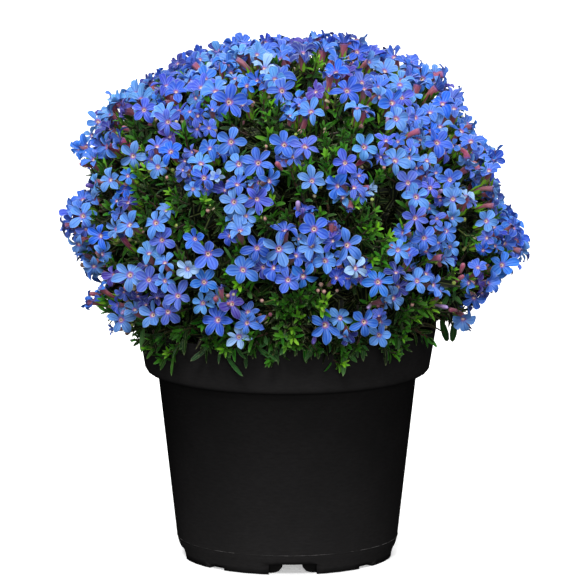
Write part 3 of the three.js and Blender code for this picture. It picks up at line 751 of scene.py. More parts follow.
# Flowers that stand behind those and show in part: x y radius
BEHIND = """
242 64 11.5|184 79 11.5|296 256 11.5|198 116 11.5|251 47 11.5|211 64 11.5|420 129 11.5|444 86 11.5|380 78 11.5|85 253 11.5|291 115 11.5|467 169 11.5|165 82 11.5|179 112 11.5|130 98 11.5|306 45 11.5|347 333 11.5|196 93 11.5|257 81 11.5|303 212 11.5|466 124 11.5|398 287 11.5|170 137 10|484 150 10|263 267 10|468 200 10|
96 187 10|231 73 10|291 45 10|213 116 10|233 39 10|438 242 10|120 215 10|414 241 10|195 71 10|343 198 10|491 183 10|425 176 10|340 62 10|409 135 10|278 40 10|497 235 10|217 297 10|69 221 10|386 94 8.5|84 300 8.5|210 92 8.5|426 274 8.5|348 278 8.5|329 39 8.5|477 282 8.5|343 258 8.5|
412 268 8.5|225 190 8.5|366 112 8.5|265 39 8.5|451 99 8.5|493 196 8.5|343 43 8.5|259 183 8.5|438 68 8.5|123 237 8.5|523 258 8.5|230 236 8.5|216 45 8.5|335 230 8.5|336 278 8.5|219 153 8.5|306 119 8.5|173 72 8.5|317 34 8.5|280 69 8.5|451 259 8.5|312 100 8.5|257 322 8.5|422 62 7|283 160 7|269 72 7|
412 94 7|420 140 7|471 152 7|74 232 7|243 105 7|149 80 7|190 174 7|300 61 7|364 159 7|495 158 7|242 39 7|380 322 7|152 159 7|325 90 7|201 54 7|439 292 7|360 276 7|127 196 7|248 312 7|385 301 7|444 153 7|361 195 7|364 267 7|437 227 7
"""
# Leafy shoot tips seen from the front: x y
SHOOTS = """276,63 317,62 209,103 264,99 270,106 279,107 126,113 228,119 267,117 276,116 121,121 134,125 185,130 272,125 280,130 323,128 347,126 122,135 128,142 136,137 270,134 297,134 325,137 343,135 352,134 144,149 268,146 326,146 334,152 343,150 89,163 103,164 309,165 326,157 103,173 134,170 140,177 146,168 291,171 302,171 326,168 329,178 378,175 137,189 147,186 164,181 173,181 139,198 149,201 171,193 178,199 204,201 272,200 301,193 109,207 172,206 213,207 320,213 355,205 364,207 375,211 95,218 143,216 175,225 189,226 223,222 260,218 265,226 272,219 287,216 363,221 373,220 368,229 370,238 377,229 389,237 474,236 384,246 133,257 180,258 237,252 373,259 383,255 229,271 453,271 228,280 239,284 276,299 291,298 300,296 310,299 311,290 326,299 106,311 106,300 284,304 290,311 297,305 321,307 408,310 417,300 423,307 432,310 284,318 298,316 404,320 416,319 203,325 250,335 283,327 292,329 405,329 137,340 152,339 174,346 207,345 281,336 286,345 292,338 297,346 391,338 403,347 403,338 149,348 161,359 168,353 224,349 317,351 344,355 358,348 397,354 270,360 342,364"""
# Deep gaps between the shoots
GAPS = """300,84 253,105 422,100 153,118 251,113 326,119 239,121 242,130 157,134 193,143 250,143 317,136 370,132 161,188 216,191 285,191 381,184 385,191 390,183 394,190 160,200 192,202 323,200 330,196 382,203 389,199 100,209 179,213 277,208 331,207 336,214 342,208 346,215 394,215 207,224 340,221 350,223 402,218 462,222 217,238 113,252 420,263 464,255 467,263 472,254 325,275 433,266 217,277 259,284 267,283 360,286 442,276 252,290 264,296 343,289 349,297 351,289 362,294 447,288 449,296 458,294 248,301 256,301 260,308 267,304 273,310 333,302 374,303 399,307 435,302 443,302 445,311 181,317 189,315 195,322 307,319 395,315 449,320 166,334 191,329 266,327 272,335 274,326 413,334 425,334 431,328"""

flowers = []  # at, face, radius, tone, outward
marks = []
for item in SEEN.replace("\n", "").split("|"):
    w = item.split()
    marks.append((float(w[0]), float(w[1]), float(w[2]), w[3], int(w[4]), WAYS[w[5]] if len(w) > 5 else (0, 0)))
marks.sort(key=lambda m: -m[2] + 2.5 * m[4] + (4 if m[3] in ("d", "c-", "v") else 0))
set_back = []
for i, (x, y, r, tone, tilt, way) in enumerate(marks):
    back = 0.0
    for j in range(i):
        gap = math.hypot(x - marks[j][0], y - marks[j][1]) / (r + marks[j][2])
        if gap < 0.86:
            back = max(back, set_back[j] + (0.86 - gap) * 7.5)
    set_back.append(min(back, 9.0) + rng.uniform(-0.8, 1.2))
    p, out, q = seen_at(x, y, (4.5 + set_back[-1]) * MM)
    if q > 0.06:
        p = p - out * 0.5 * (q - 0.06) * 0.13
    way = RIGHT * way[0] + OVER * way[1]
    ang = math.radians([8, 42, 74, 108][tilt])
    if tilt == 0:
        face = unit(BACK + 0.30 * (out - BACK * (out @ BACK)) + rng.normal(0, 0.13, 3))
    else:
        face = unit(BACK * math.cos(ang) + way * math.sin(ang) + rng.normal(0, 0.12, 3))
    grow = [1.09, 1.09, 1.06, 1.08][tilt]
    flowers.append((p, face, r * PX * grow, ORDER.index(tone), out))
for item in BEHIND.replace("\n", "").split("|"):
    w = item.split()
    x, y, r = map(float, w[:3])
    p, out, q = seen_at(x, y, rng.uniform(9.5, 12.5) * MM)
    if q > 0.04:
        p = p - out * 0.5 * (q - 0.04) * 0.13
    face = unit(BACK * 0.6 + (out - BACK * (out @ BACK)) * 0.8 + rng.normal(0, 0.28, 3))
    # painted shade: these flowers, set back, take mostly the deeper tones
    tone = rng.choice(["c-", "c", "d", "a-", "s", "p", "v"], p=[0.32, 0.23, 0.14, 0.09, 0.09, 0.08, 0.05])
    flowers.append((p, face, max(r, 10.5) * PX * 1.12, ORDER.index(tone), out))

# The sides, top and back have flowers in the same number and grouping.
seen_points = np.array([f[0] for f in flowers])
tone_pool = np.array([f[3] for f in flowers])
spots = [f[0] for f in flowers]
mark_x = np.array([m[0] for m in marks])
mark_y = np.array([m[1] for m in marks])
tries = 15000
az_try = rng.uniform(0, 360, tries)
el_try = np.degrees(np.arcsin(rng.uniform(-0.02, 1.0, tries)))
low_thin = rng.uniform(0, 1, tries)
for az, el, luck in zip(az_try, el_try, low_thin):
    p = hull(az, el, 0.004)
    n = unit(p - HEART)
    facing = n @ BACK
    if facing > 0.20:
        # towards the front only where the picture shows flowers anyway
        x, y = on_picture(p)
        if facing > 0.52 or y > 150 or np.hypot(mark_x - x, mark_y - y).min() > 7.5:
            continue
    if waves(p, 0.034) < -0.55 or el < 5 or (el < 11 and luck < 0.5):
        continue
    if facing > -0.45:
        p = drawn_in(p, 13 if facing < 0.16 else 12)
    d = np.linalg.norm(np.array(spots) - p, axis=1)
    limb = -0.5 < facing < 0.16
    if d.min() < (0.0061 + 0.0026 * luck if limb else 0.0074 + 0.0030 * luck):
        continue
    depth = 0.0035 + 0.0065 * rng.random() - (0.003 if limb else 0)
    p = p + n * (0.004 - depth + 0.0025 * waves(p, 0.05, 5))
    spots.append(p)
    tilt = abs(rng.normal(0, 0.5))
    turn = unit(np.cross(n, rng.normal(size=3)))
    face = unit(n + UP * 0.12 + BACK * (0.3 if -0.15 < facing < 0.52 else 0) + turn * math.tan(min(tilt, 1.25)))
    flowers.append((p, face, rng.uniform(0.0063, 0.0082), int(rng.choice(tone_pool)), n))

at = np.array([f[0] for f in flowers])
face = np.array([f[1] for f in flowers])
radius = np.array([f[2] for f in flowers])
tone = np.array([f[3] for f in flowers])
outw = np.array([f[4] for f in flowers])
total = len(flowers)
# a flower's foot: the tube runs back from the face and turns to the shoot
tube_len = rng.uniform(0.0088, 0.0112, total)
foot = at - unit(face * 0.62 + outw * 0.55) * tube_len[:, None]

# ------------------------------------------------------------------ shoots that carry the flowers
groups = []
for i in np.argsort(rng.random(total)):
    best, bd = None, 0.0105
    for g in groups:
        d = np.linalg.norm(foot[i] - g["mid"])
        if d < bd and len(g["who"]) < 6:
            best, bd = g, d
    if best is None:
        groups.append({"who": [i], "mid": foot[i].copy()})
    else:
        best["who"].append(i)
        best["mid"] = foot[best["who"]].mean(0)

# the brightness sets the leaf tones: a low value paints the shoot's leaves darker, as painted shade deep in the plant
shoots = []  # tip, growth direction, brightness, carries flowers, leafy length
for g in groups:
    out = unit(outw[g["who"]].mean(0))
    tip = g["mid"] - out * 0.0035
    g["tip"] = tip
    shoots.append((tip, unit(out + UP * 0.25), 30 + 24 * rng.random(), True, 0.030))

gaps = np.array([[float(a) for a in s.split(",")] for s in GAPS.split()])


def in_gap(p, room):
    x = on_picture(p)
    return np.hypot(*(gaps - x).T).min() < room


for s in SHOOTS.split():
    x, y = map(float, s.split(","))
    b = 20 + 42 * rng.random() ** 1.4
    p, out, q = seen_at(x, y, (0.007 if y < 335 else 0.004))
    look = unit(out * 0.75 + BACK * 0.35 + UP * 0.22 + rng.normal(0, 0.14, 3))
    shoots.append((p, look, b, False, 0.032))

taken = [s[0] for s in shoots]
tries = 9000
az_try = rng.uniform(0, 360, tries)
el_try = np.degrees(np.arcsin(rng.uniform(0.03, 1.0, tries)))
for az, el in zip(az_try, el_try):
    n = unit(hull(az, el) - HEART)
    front = n @ BACK > 0.2
    deep = rng.random()
    depth = (0.015 + 0.014 * deep) if front else (0.007 + 0.010 * deep)
    if el < 5:
        depth = 0.004 + 0.012 * deep
    p = hull(az, el, depth)
    if front and in_gap(p, 12.5):
        continue
    if n @ BACK > -0.45:
        p = drawn_in(p, 12)
        x, y = on_picture(p)
        if x > 420 and y > 312:
            continue
    if np.linalg.norm(np.array(taken) - p, axis=1).min() < (0.0108 if front else 0.0092):
        continue
    taken.append(p)
    # painted shade: filler shoots set deep among the front shoots get a low brightness and so dark leaf tones; those
    # elsewhere lighter ones
    bright = rng.uniform(5, 24) if front else rng.uniform(18, 56)
    shoots.append((p, unit(n + UP * 0.3 + rng.normal(0, 0.16, 3)), bright, False, 0.030))

# shoots deep inside the plant: they carry only old leaves, mostly near black as painted shade
inner = []
for _ in range(2600):
    az, el = rng.uniform(0, 360), math.degrees(math.asin(rng.uniform(0.02, 1.0)))
    p = hull(az, el, rng.uniform(0.030, 0.052))
    if inner and np.linalg.norm(np.array(inner) - p, axis=1).min() < 0.0108:
        continue
    inner.append(p)
    shoots.append((p, unit(unit(p - HEART) + rng.normal(0, 0.3, 3)), 2.0, False, 0.018))
for _ in range(900):
    az, el = rng.uniform(0, 360), math.degrees(math.asin(rng.uniform(0.02, 1.0)))
    p = hull(az, el, rng.uniform(0.052, 0.078))
    if p[2] < 0.125 or np.linalg.norm(np.array(inner) - p, axis=1).min() < 0.0125:
        continue
    inner.append(p)
    shoots.append((p, unit(unit(p - HEART) + rng.normal(0, 0.5, 3)), 2.0, False, 0.015))

# ------------------------------------------------------------------ build the branches
foliage = [Soup(f"leafy_branch_{i + 1:02d}_foliage", GREEN) for i in range(24)]
blooms = [Soup(f"flower_spray_{i + 1:02d}_bloom", BLOOM) for i in range(24)]
leaf_rows = {i: [] for i in range(24)}
stem_rows = {i: [] for i in range(24)}
GOLD = math.radians(137.508)

for i, trunk in enumerate(trunks):
    t = np.linspace(0, 1, 25)
    rings(foliage[i], trunk[None], (0.0019 - 0.0011 * t)[None], 8, np.array([[0, 0]]), "stem")


def leaf_records(points, leafy, bright, carries, spread=1.0, long=1.0):
    """Leaves along the last part of a stem, from its tip down."""
    seg = np.linalg.norm(np.diff(points, axis=0), axis=1)
    s_along = np.concatenate([[0], np.cumsum(seg)])
    whole = s_along[-1]
    leafy = min(leafy, whole * 0.92)
    s, k = 0.0, 0
    turn = rng.uniform(0, 6.28)
    rows = []
    where = []
    while s < leafy:
        where.append(s)
        s += 0.00068 + 0.0017 * min(s / 0.02, 1.0)
    where = np.array(where)
    n = len(where)
    pos = np.stack([np.interp(whole - where, s_along, points[:, c]) for c in range(3)], -1)
    ahead = np.stack([np.interp(whole - where + 0.0015, s_along, points[:, c]) for c in range(3)], -1)
    behind = np.stack([np.interp(whole - where - 0.0015, s_along, points[:, c]) for c in range(3)], -1)
    tan = unit(ahead - behind)
    u = across(tan)
    v = np.cross(tan, u)
    a = turn + GOLD * np.arange(n) + rng.normal(0, 0.18, n)
    out = u * np.cos(a)[:, None] + v * np.sin(a)[:, None]
    x = where / 0.012
    open_deg = np.clip(17 + 46 * np.minimum(x, 1.15) + rng.normal(0, 8, n), 8, 86) * spread
    if carries:
        open_deg = np.clip(open_deg + 18, 28, 82)
    length = (0.0046 + 0.0032 * np.clip(x * 1.4, 0, 1) + 0.0024 * np.clip(x - 1, 0, 1.5)) * rng.normal(1, 0.13, n) * long
    width = np.clip(length * rng.normal(0.25, 0.03, n), 0.0013, 0.0026)
    if bright < 3:
        length, width = length * 1.15, width * 1.5
    bend = rng.normal(0.16, 0.10, n)
    fold = rng.normal(0.34, 0.12, n)
    # tone: light at the tip and darker down the stem, partly the young leaves' real colour and partly painted shade
    # deeper in the plant; shoots with a low bright value get darker tones as painted shade
    level = 4.8 - bright / 13.5 + 2.8 * np.clip(x - 0.22, 0, 1.6) + rng.normal(0, 0.5, n)
    level = np.clip(np.rint(level), 0, 5).astype(int)
    level = np.where((level >= 3) & (length > 0.0068) & (rng.random(n) < 0.3), rng.choice([6, 7], n), level)
    tile = np.stack([rng.integers(0, 8, n), level], -1)
    return pos, tan, out, open_deg, length, width, bend, fold, tile


old_and_shade_leaf_rows = {i: [] for i in range(24)}


def old_and_shade_leaf_records(points, upto, step, length):
    """Places, directions and sizes of old leaves along the first part of a stem."""
    seg = np.linalg.norm(np.diff(points, axis=0), axis=1)
    s_along = np.concatenate([[0], np.cumsum(seg)])
    where = np.arange(0.002, max(s_along[-1] * upto, 0.004), step)
    n = len(where)
    pos = np.stack([np.interp(where, s_along, points[:, c]) for c in range(3)], -1)
    ahead = np.stack([np.interp(where + 0.002, s_along, points[:, c]) for c in range(3)], -1)
    tan = unit(ahead - pos + 1e-9)
    d = unit(tan * 0.25 + rng.normal(0, 1, (n, 3)))
    up = unit(tan + rng.normal(0, 0.3, (n, 3)))
    ln = rng.uniform(0.8, 1.25, n) * length
    # mostly tone 8, near black, as painted shade inside the plant; some tone 5 dark green and tone 9 dead brown
    tone = rng.choice([8, 8, 8, 8, 8, 5, 9], n)
    return pos, d, up, ln, ln * rng.uniform(0.26, 0.36, n), np.stack([rng.integers(0, 8, n), tone], -1)


for i, trunk in enumerate(trunks):
    old_and_shade_leaf_rows[i].append(old_and_shade_leaf_records(trunk[5:], 1.0, 0.0009, 0.015))

for tip, grow, bright, carries, leafy in shoots:
    b = int(branch_of(tip))
    trunk = trunks[b]
    d = np.linalg.norm(trunk - tip, axis=1)
    back_along = (tip - trunk) @ grow
    cost = d + 0.05 * np.clip(0.022 - back_along, 0, None) / 0.022
    j = int(np.clip(np.argmin(cost), 3, 23))
    a = trunk[j]
    dist = np.linalg.norm(tip - a)
    tang = unit(trunk[min(j + 1, 24)] - trunk[j - 1])
    pts = curve(a, unit(tang + UP * 0.1) * dist * 0.35, tip, unit(grow) * dist * 0.38, 13)
    stem_rows[b].append(pts)
    if bright > 3:
        leaf_rows[b].append(leaf_records(pts, leafy, bright, carries))
        old_and_shade_leaf_rows[b].append(old_and_shade_leaf_records(pts, 0.7, 0.0028, 0.012))
    else:
        old_and_shade_leaf_rows[b].append(old_and_shade_leaf_records(pts, 1.0, 0.0016, 0.013))

for i in range(24):
    pts = np.array(stem_rows[i])[:, ::2]
    t = np.linspace(0, 1, 7)
    tile = np.stack([rng.integers(0, 4, len(pts)), np.zeros(len(pts), int)], -1)
    rings(foliage[i], pts, (0.0008 - 0.00035 * t)[None], 4, tile, "stem")
    cols = [np.concatenate(c) for c in zip(*leaf_rows[i])]
    leaves(foliage[i], *cols[:8], cols[8])
    old_leaves(foliage[i], *[np.concatenate(c) for c in zip(*old_and_shade_leaf_rows[i])])

# ------------------------------------------------------------------ build the flowers
lobes = np.where(rng.random(total) < 0.13, 6, 5)
big = radius > 0.0078
lobes[big & (rng.random(total) < 0.35)] = 6
sideways = np.sqrt(np.clip(1 - (face @ BACK) ** 2, 0, 1))
cup = 0.2 + 0.34 * sideways * rng.random(total) + np.where(rng.random(total) < 0.22, 0.3, 0.0) + rng.normal(0, 0.08, total)
spin = rng.uniform(0, 2 * np.pi, total)
owner = np.zeros(total, int)
for g in groups:
    b = int(branch_of(g["tip"]))
    for i in g["who"]:
        owner[i] = b

SEPAL_TURN = np.arange(5) * 2 * np.pi / 5


def ball_path(base, axis, length, profile):
    t = np.linspace(0, 1, len(profile))
    return base[:, None] + axis[:, None] * (length[:, None] * t)[..., None]


for b in range(24):
    pick = np.nonzero(owner == b)[0]
    soup = blooms[b]
    corollas(soup, at[pick], face[pick], radius[pick], tone[pick], cup[pick], spin[pick], lobes[pick])
    m = len(pick)
    start = at[pick] + face[pick] * (radius[pick] * 0.015)[:, None]
    ctrl = at[pick] - face[pick] * (tube_len[pick] * 0.55)[:, None]
    t = np.array([0, 0.13, 0.36, 0.66, 1.0])[None, :, None]
    path = (1 - t) ** 2 * start[:, None] + 2 * t * (1 - t) * ctrl[:, None] + t**2 * foot[pick][:, None]
    scale = (radius[pick] / 0.0074)[:, None]
    rr = np.array([2.15, 2.05, 1.62, 1.42, 1.32]) * MM * np.clip(scale, 0.7, 1.1)
    tile = np.stack([rng.integers(0, 8, m), np.zeros(m, int)], -1)
    rings(soup, path, rr, 7, tile, "tube")
    # calyx
    ax = unit(path[:, -2] - path[:, -1])
    u = across(ax)
    v = np.cross(ax, u)
    a = (rng.uniform(0, 6.28, m)[:, None] + SEPAL_TURN).ravel()
    axr, ur, vr = (np.repeat(q, 5, 0) for q in (ax, u, v))
    out = ur * np.cos(a)[:, None] + vr * np.sin(a)[:, None]
    n5 = m * 5
    ang = np.radians(rng.normal(13, 6, n5))[:, None]
    old_leaves(
        soup, np.repeat(foot[pick], 5, 0) + out * 0.00105 - axr * 0.0008, np.cos(ang) * axr + np.sin(ang) * out, out,
        rng.normal(0.0066, 0.0006, n5), np.full(n5, 0.00175), np.stack([rng.integers(0, 8, n5), np.zeros(n5, int)], -1),
    )

# stalks from each shoot tip to its flowers, and the buds beside them
bud_parts = {i: [] for i in range(24)}
stalks = {i: [] for i in range(24)}
for g in groups:
    b = int(owner[g["who"][0]])
    tip = g["tip"]
    out = unit(outw[g["who"]].mean(0))
    for i in g["who"]:
        end = foot[i]
        away_ = unit(at[i] - foot[i])
        dd = np.linalg.norm(end - tip)
        stalks[b].append(curve(tip - out * 0.002, out * dd * 0.4, end, away_ * dd * 0.45, 4))
    for _ in range(rng.integers(1, 5)):
        way = unit(out + rng.normal(0, 0.55, 3))
        kind = int(rng.choice([0, 0, 1, 2, 2, 3, 6]))
        ln = rng.uniform(0.0016, 0.003)
        base = tip + way * rng.uniform(0.002, 0.006)
        stalks[b].append(curve(tip, out * 0.001, base, way * 0.001, 4))
        bud_parts[b].append((base, way, ln, ln * rng.uniform(0.36, 0.44), kind))
    if rng.random() < 0.42:
        way = unit(out + rng.normal(0, 0.45, 3))
        ln = rng.uniform(0.006, 0.009)
        base = tip + way * rng.uniform(0.003, 0.006)
        stalks[b].append(curve(tip, out * 0.001, base, way * 0.001, 4))
        bud_parts[b].append((base, way, ln, rng.uniform(0.0010, 0.0013), int(rng.choice([4, 4, 4, 3, 5, 7]))))

# buds seen in front: place in the picture, kind, length in tenths of a millimetre, the way each points
BUDS = """266 147 1 22 N|271 146 2 20 N|266 152 1 22 N|215 131 0 30 N|208 211 1 24 N|213 209 0 22 N|211 206 2 20 N|265 219 1 26 N|261 218 2 20 N|
300 132 1 26 N|296 135 2 22 N|324 129 0 22 N|325 133 1 20 N|321 285 6 26 N|324 292 1 24 N|318 291 1 22 N|337 291 6 20 N|323 311 2 26 N|
198 268 0 30 N|83 265 6 30 W|442 91 4 58 N|279 166 4 58 NW|459 279 4 67 NE|462 268 4 58 N|89 293 4 67 W|216 300 4 50 N|77 158 4 75 W|126 129 4 50 W|
303 213 7 60 N|298 206 5 60 N|91 186 7 60 W|453 310 4 58 W|391 248 4 50 N|388 252 1 24 N|454 283 2 26 W|99 303 4 67 NW|350 287 6 22 N|262 301 1 22 N|
142 165 1 24 N|150 172 2 22 N|167 178 1 22 N|176 226 2 24 N|228 296 1 24 N|243 259 2 24 N|384 168 1 22 N|372 200 2 22 N|420 300 2 24 N|412 305 1 22 N"""
tips_all = np.array([q[0] for q in shoots])
for item in BUDS.replace("\n", "").split("|"):
    w = item.split()
    x, y, kind, ln = float(w[0]), float(w[1]), int(w[2]), float(w[3]) * 1e-4
    p, out, q = seen_at(x, y, 0.0075)
    if q > 0.03:
        p = p - out * (q - 0.03) * 0.13
    k = int(np.argmin(np.linalg.norm(tips_all - (p - out * 0.006), axis=1)))
    tip = tips_all[k]
    b = int(branch_of(tip))
    side = WAYS[w[4]]
    way = unit(out * 0.5 + BACK * 0.3 + (RIGHT * side[0] + OVER * side[1]) * (1.0 if ln > 0.005 else 0.4))
    base = p - way * ln * 0.5
    gap = np.linalg.norm(base - tip)
    stalks[b].append(curve(tip, shoots[k][1] * gap * 0.35, base, way * gap * 0.35, 4))
    bud_parts[b].append((base, way, ln, 0.00135 if kind in (4, 5, 7) else ln * 0.46, kind))

BUD_R = np.array([0.4, 0.68, 0.88, 1.0, 0.78, 0.36, 0.04])
BUD_T = np.array([0, 0.2, 0.48, 0.72, 0.9, 0.98, 1.0])
for b in range(24):
    if stalks[b]:
        pts = np.array(stalks[b])
        rings(blooms[b], pts, np.full((1, 4), 0.00045), 3, np.stack([np.full(len(pts), 3), np.zeros(len(pts), int)], -1), "stem")
    if bud_parts[b]:
        base = np.array([q[0] for q in bud_parts[b]])
        way = np.array([q[1] for q in bud_parts[b]])
        ln = np.array([q[2] for q in bud_parts[b]])
        rad = np.array([q[3] for q in bud_parts[b]])
        kind = np.array([q[4] for q in bud_parts[b]])
        path = base[:, None] + way[:, None] * (ln[:, None] * BUD_T)[..., None]
        rings(blooms[b], path, rad[:, None] * BUD_R, 6, np.stack([kind, np.zeros(len(kind), int)], -1), "bud")

# ------------------------------------------------------------------ shoots that hang over the rim
trail = [Soup(f"trailing_shoot_{i + 1:02d}_foliage", GREEN) for i in range(8)]
trail_az = [-108 + 36 * (k if k < 5 else k + 1) for k in range(8)]


def trail_of(az):
    return int(np.argmin([abs((az - t + 180) % 360 - 180) for t in trail_az]))


for k, az in enumerate(trail_az):
    up = 0.002 * (k % 2)
    pts = [AXIS + away(az, 0) * r * MM + UP * (z * MM + (up if i > 1 else 0)) for i, (r, z) in enumerate(((11.9, 106.4), (26, 110.5), (40, 115), (56, 120.5), (69, 123.5), (79, 122.5), (86, 119.5)))]
    pts = np.array(pts)
    rings(trail[k], pts[None], np.linspace(0.0013, 0.0006, 7)[None], 7, np.array([[1, 0]]), "stem")
    rows = leaf_records(pts, 0.05, 26, False, long=1.25)
    leaves(trail[k], *rows[:8], rows[8], sag=0.25)

n_fringe = 66
for k in range(n_fringe):
    az = -90 + 360 * (k + rng.uniform(-0.3, 0.3)) / n_fringe
    t = trail_of(az)
    r1 = rng.uniform(79, 87)
    z1 = rng.uniform(119.5, 125)
    a = AXIS + away(az + rng.uniform(-6, 6), 0) * 0.052 + UP * 0.117
    tip = AXIS + away(az, 0) * r1 * MM + UP * z1 * MM
    pts = curve(a, (away(az, 0) + UP * 0.25) * 0.014, tip, (away(az, 0) * 0.7 - UP * 0.5) * 0.012, 9)
    rings(trail[t], pts[None], np.linspace(0.0007, 0.0004, 9)[None], 5, np.array([[2, 0]]), "stem")
    x, y = on_picture(tip)
    if tip[1] < 0 and (x > 418 or rng.random() < 0.45):
        continue
    rows = list(leaf_records(pts, 0.017, rng.uniform(10, 46), False, long=1.1))
    leaves(trail[t], *rows[:8], rows[8], sag=0.12)
    # long old leaves that hang down outside the rim
    m = int(rng.integers(0, 4))
    j = rng.uniform(0.7, 1.0, m)
    base = np.stack([np.interp(j, np.linspace(0, 1, 9), pts[:, c]) for c in range(3)], -1)
    out = unit(away(az, 0) + rng.normal(0, 0.6, (m, 3)) * np.array([1, 1, 0.2]))
    d = unit(out * 0.5 - UP * rng.uniform(0.25, 1.3, m)[:, None])
    stemdir = unit(np.cross(np.cross(d, UP), d) * 1.0 + out * 0.3)
    length = rng.uniform(0.0095, 0.0155, m)
    leaves(
        trail[t], base, stemdir, d, np.full(m, 84.0), length, length * rng.uniform(0.17, 0.21, m),
        rng.normal(0.16, 0.1, m), rng.normal(0.25, 0.08, m),
        np.stack([rng.integers(0, 8, m), rng.choice([6, 6, 7, 4, 5], m)], -1),
    )

# hanging leaves seen in front: where each starts and ends in the picture, and its width in tenths of a millimetre
HANGING = """176 353 173 375 24|207 349 192 360 26|210 337 208 357 27|216 341 232 357 31|228 355 244 375 27|247 354 247 367 20|
259 347 278 360 28|290 314 278 337 30|284 338 285 356 24|305 344 306 362 26|316 340 318 358 27|353 342 366 355 26|343 349 342 375 30|
348 354 356 361 22|400 338 398 358 30|418 328 420 342 20|441 320 448 343 36|455 320 452 343 36|433 310 441 311 30|166 340 158 352 26|
188 334 182 349 24|262 330 268 344 24|330 338 328 352 22|383 340 380 352 22|148 342 146 355 22"""
for item in HANGING.replace("\n", "").split("|"):
    x0, y0, x1, y1, w = map(float, item.split())
    ends = []
    for x, y, r in ((x0, y0, 0.0785), (x1, y1, 0.0835)):
        if x > 428:
            p, out, q = seen_at(x, y, 0.012)
            ends.append(p)
            continue
        px = (x - 287.4) * PX
        py = -math.sqrt(max(r * r - px * px, 0.0))
        ends.append(AXIS + np.array([px, py, ((554.4 - y) * PX - py * 0.1736) / 0.985]))
    a, b = ends
    d = unit(b - a)
    az = math.degrees(math.atan2(a[1], a[0] - AXIS[0]))
    t = trail_of(az)
    length = np.array([np.linalg.norm(b - a)])
    root_at = AXIS + away(az, 0) * min(0.062, np.linalg.norm((a - AXIS)[:2]) - 0.008) + UP * (max(a[2], 0.1195) + 0.001)
    stalk = curve(root_at, away(az, 0) * 0.006 + UP * 0.002, a, (away(az, 0) * 0.4 - UP * 0.6) * 0.005, 6)
    rings(trail[t], stalk[None], np.linspace(0.0007, 0.0004, 6)[None], 4, np.array([[2, 0]]), "stem")
    face_dir = unit((BACK if x0 > 428 else away(az, 0)) + 0.25 * rng.normal(size=3))
    face_dir = unit(face_dir - (face_dir @ d) * d)
    leaves(
        trail[t], a[None], face_dir[None], d[None], np.array([88.0]), length, np.array([w * 1e-4]),
        np.array([0.05]), np.array([0.28]), np.array([[rng.integers(0, 8), rng.choice([6, 6, 7, 3])]]),
    )

made = 0
for i in range(24):
    made += foliage[i].build(GREEN_MATS, f"leafy_branch_{i + 1:02d}", "leaf")
    made += blooms[i].build(BLOOM_MATS, f"flower_spray_{i + 1:02d}", "petal")
for i in range(8):
    made += trail[i].build(GREEN_MATS, f"trailing_shoot_{i + 1:02d}", "old_leaf")
print("plant triangles", made, "flowers", total, "groups", len(groups), "shoots", len(shoots))


# ------------------------------------------------------------------ pot, soil, crown
def object_place(m):
    return m.new("ShaderNodeTexCoord").outputs["Object"]


def pot_material():
    m = Mat("pot_plastic", 0.6, 0.0)
    place = object_place(m)
    s = m.new("ShaderNodeSeparateXYZ")
    m.put(place, s.inputs[0])
    fine = m.noise(m.xyz(m.math("MULTIPLY", s.outputs[0], 300.0), m.math("MULTIPLY", s.outputs[1], 300.0), m.math("MULTIPLY", s.outputs[2], 1100.0)), 1.0, 3.0, 0.6)
    broad = m.noise(place, 38.0, 3.0, 0.55)
    col = m.ramp(fine, [(0.3, (0.0170, 0.0162, 0.0164, 1)), (0.7, (0.0220, 0.0210, 0.0213, 1))])
    col = m.mix(m.smooth(broad, 0.35, 0.7, 0.0, 0.4), col, (0.0146, 0.0141, 0.0143, 1))
    m.colour(col)
    m.rough(m.smooth(m.math("ADD", m.math("MULTIPLY", fine, 0.5), m.math("MULTIPLY", broad, 0.5)), 0.3, 0.7, 0.46, 0.58))
    m.bump(fine, 0.12, 0.0002)
    return m.m


pot_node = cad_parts["pot"]
bm = bmesh.new()
bm.from_mesh(pot_node.data)
bmesh.ops.remove_doubles(bm, verts=bm.verts, dist=2e-6)
bmesh.ops.dissolve_degenerate(bm, edges=bm.edges, dist=1e-6)
pot_mesh = bpy.data.meshes.new("pot_moulding")
bm.to_mesh(pot_mesh)
bm.free()
pot_mesh.polygons.foreach_set("use_smooth", np.ones(len(pot_mesh.polygons), bool))
pot_mesh.set_sharp_from_angle(angle=math.radians(28))
pot = bpy.data.objects.new("pot_moulding", pot_mesh)
scene.collection.objects.link(pot)
pot.data.materials.append(pot_material())
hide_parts("pot")
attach(pot, "root")


def foot_highlight_material():
    m = Mat("pot_line", 0.45, 0.2)
    place = object_place(m)
    n = m.noise(place, 60.0, 4.0, 0.7)
    # painted highlight: the bead's colour is lightened in dashes, standing in for the light the foot step catches
    m.colour(m.ramp(n, [(0.47, (0.016, 0.015, 0.015, 1)), (0.56, (0.085, 0.08, 0.08, 1)), (0.66, (0.03, 0.029, 0.029, 1))]))
    m.rough(m.smooth(n, 0.3, 0.7, 0.35, 0.6))
    return m.m


# a thin bead round the foot step, carrying the painted highlight
line = Soup("pot_foot_highlight_bead", None)
line.materials = {"line": (0, (0, 0, 1, 1), (1, 1))}
turn = np.radians(np.linspace(3, 363, 161))
around = np.stack([np.cos(turn), np.sin(turn), np.zeros(161)], -1)
bead = []
for dr, dz in ((-0.25, -0.22), (0.16, 0.0), (-0.25, 0.22)):
    bead.append(AXIS + around * (55.6 * math.cos(math.radians(2.2)) + dr) * MM + UP * (10.2 + dz) * MM)
line.add(
    np.stack(bead, 0).reshape(1, -1, 3), grid_faces(3, 161),
    np.array([[j / 160, i / 2] for i in range(3) for j in range(161)]), np.zeros((1, 2)), "line",
)
line.build([foot_highlight_material()], "pot", "pot_plastic")


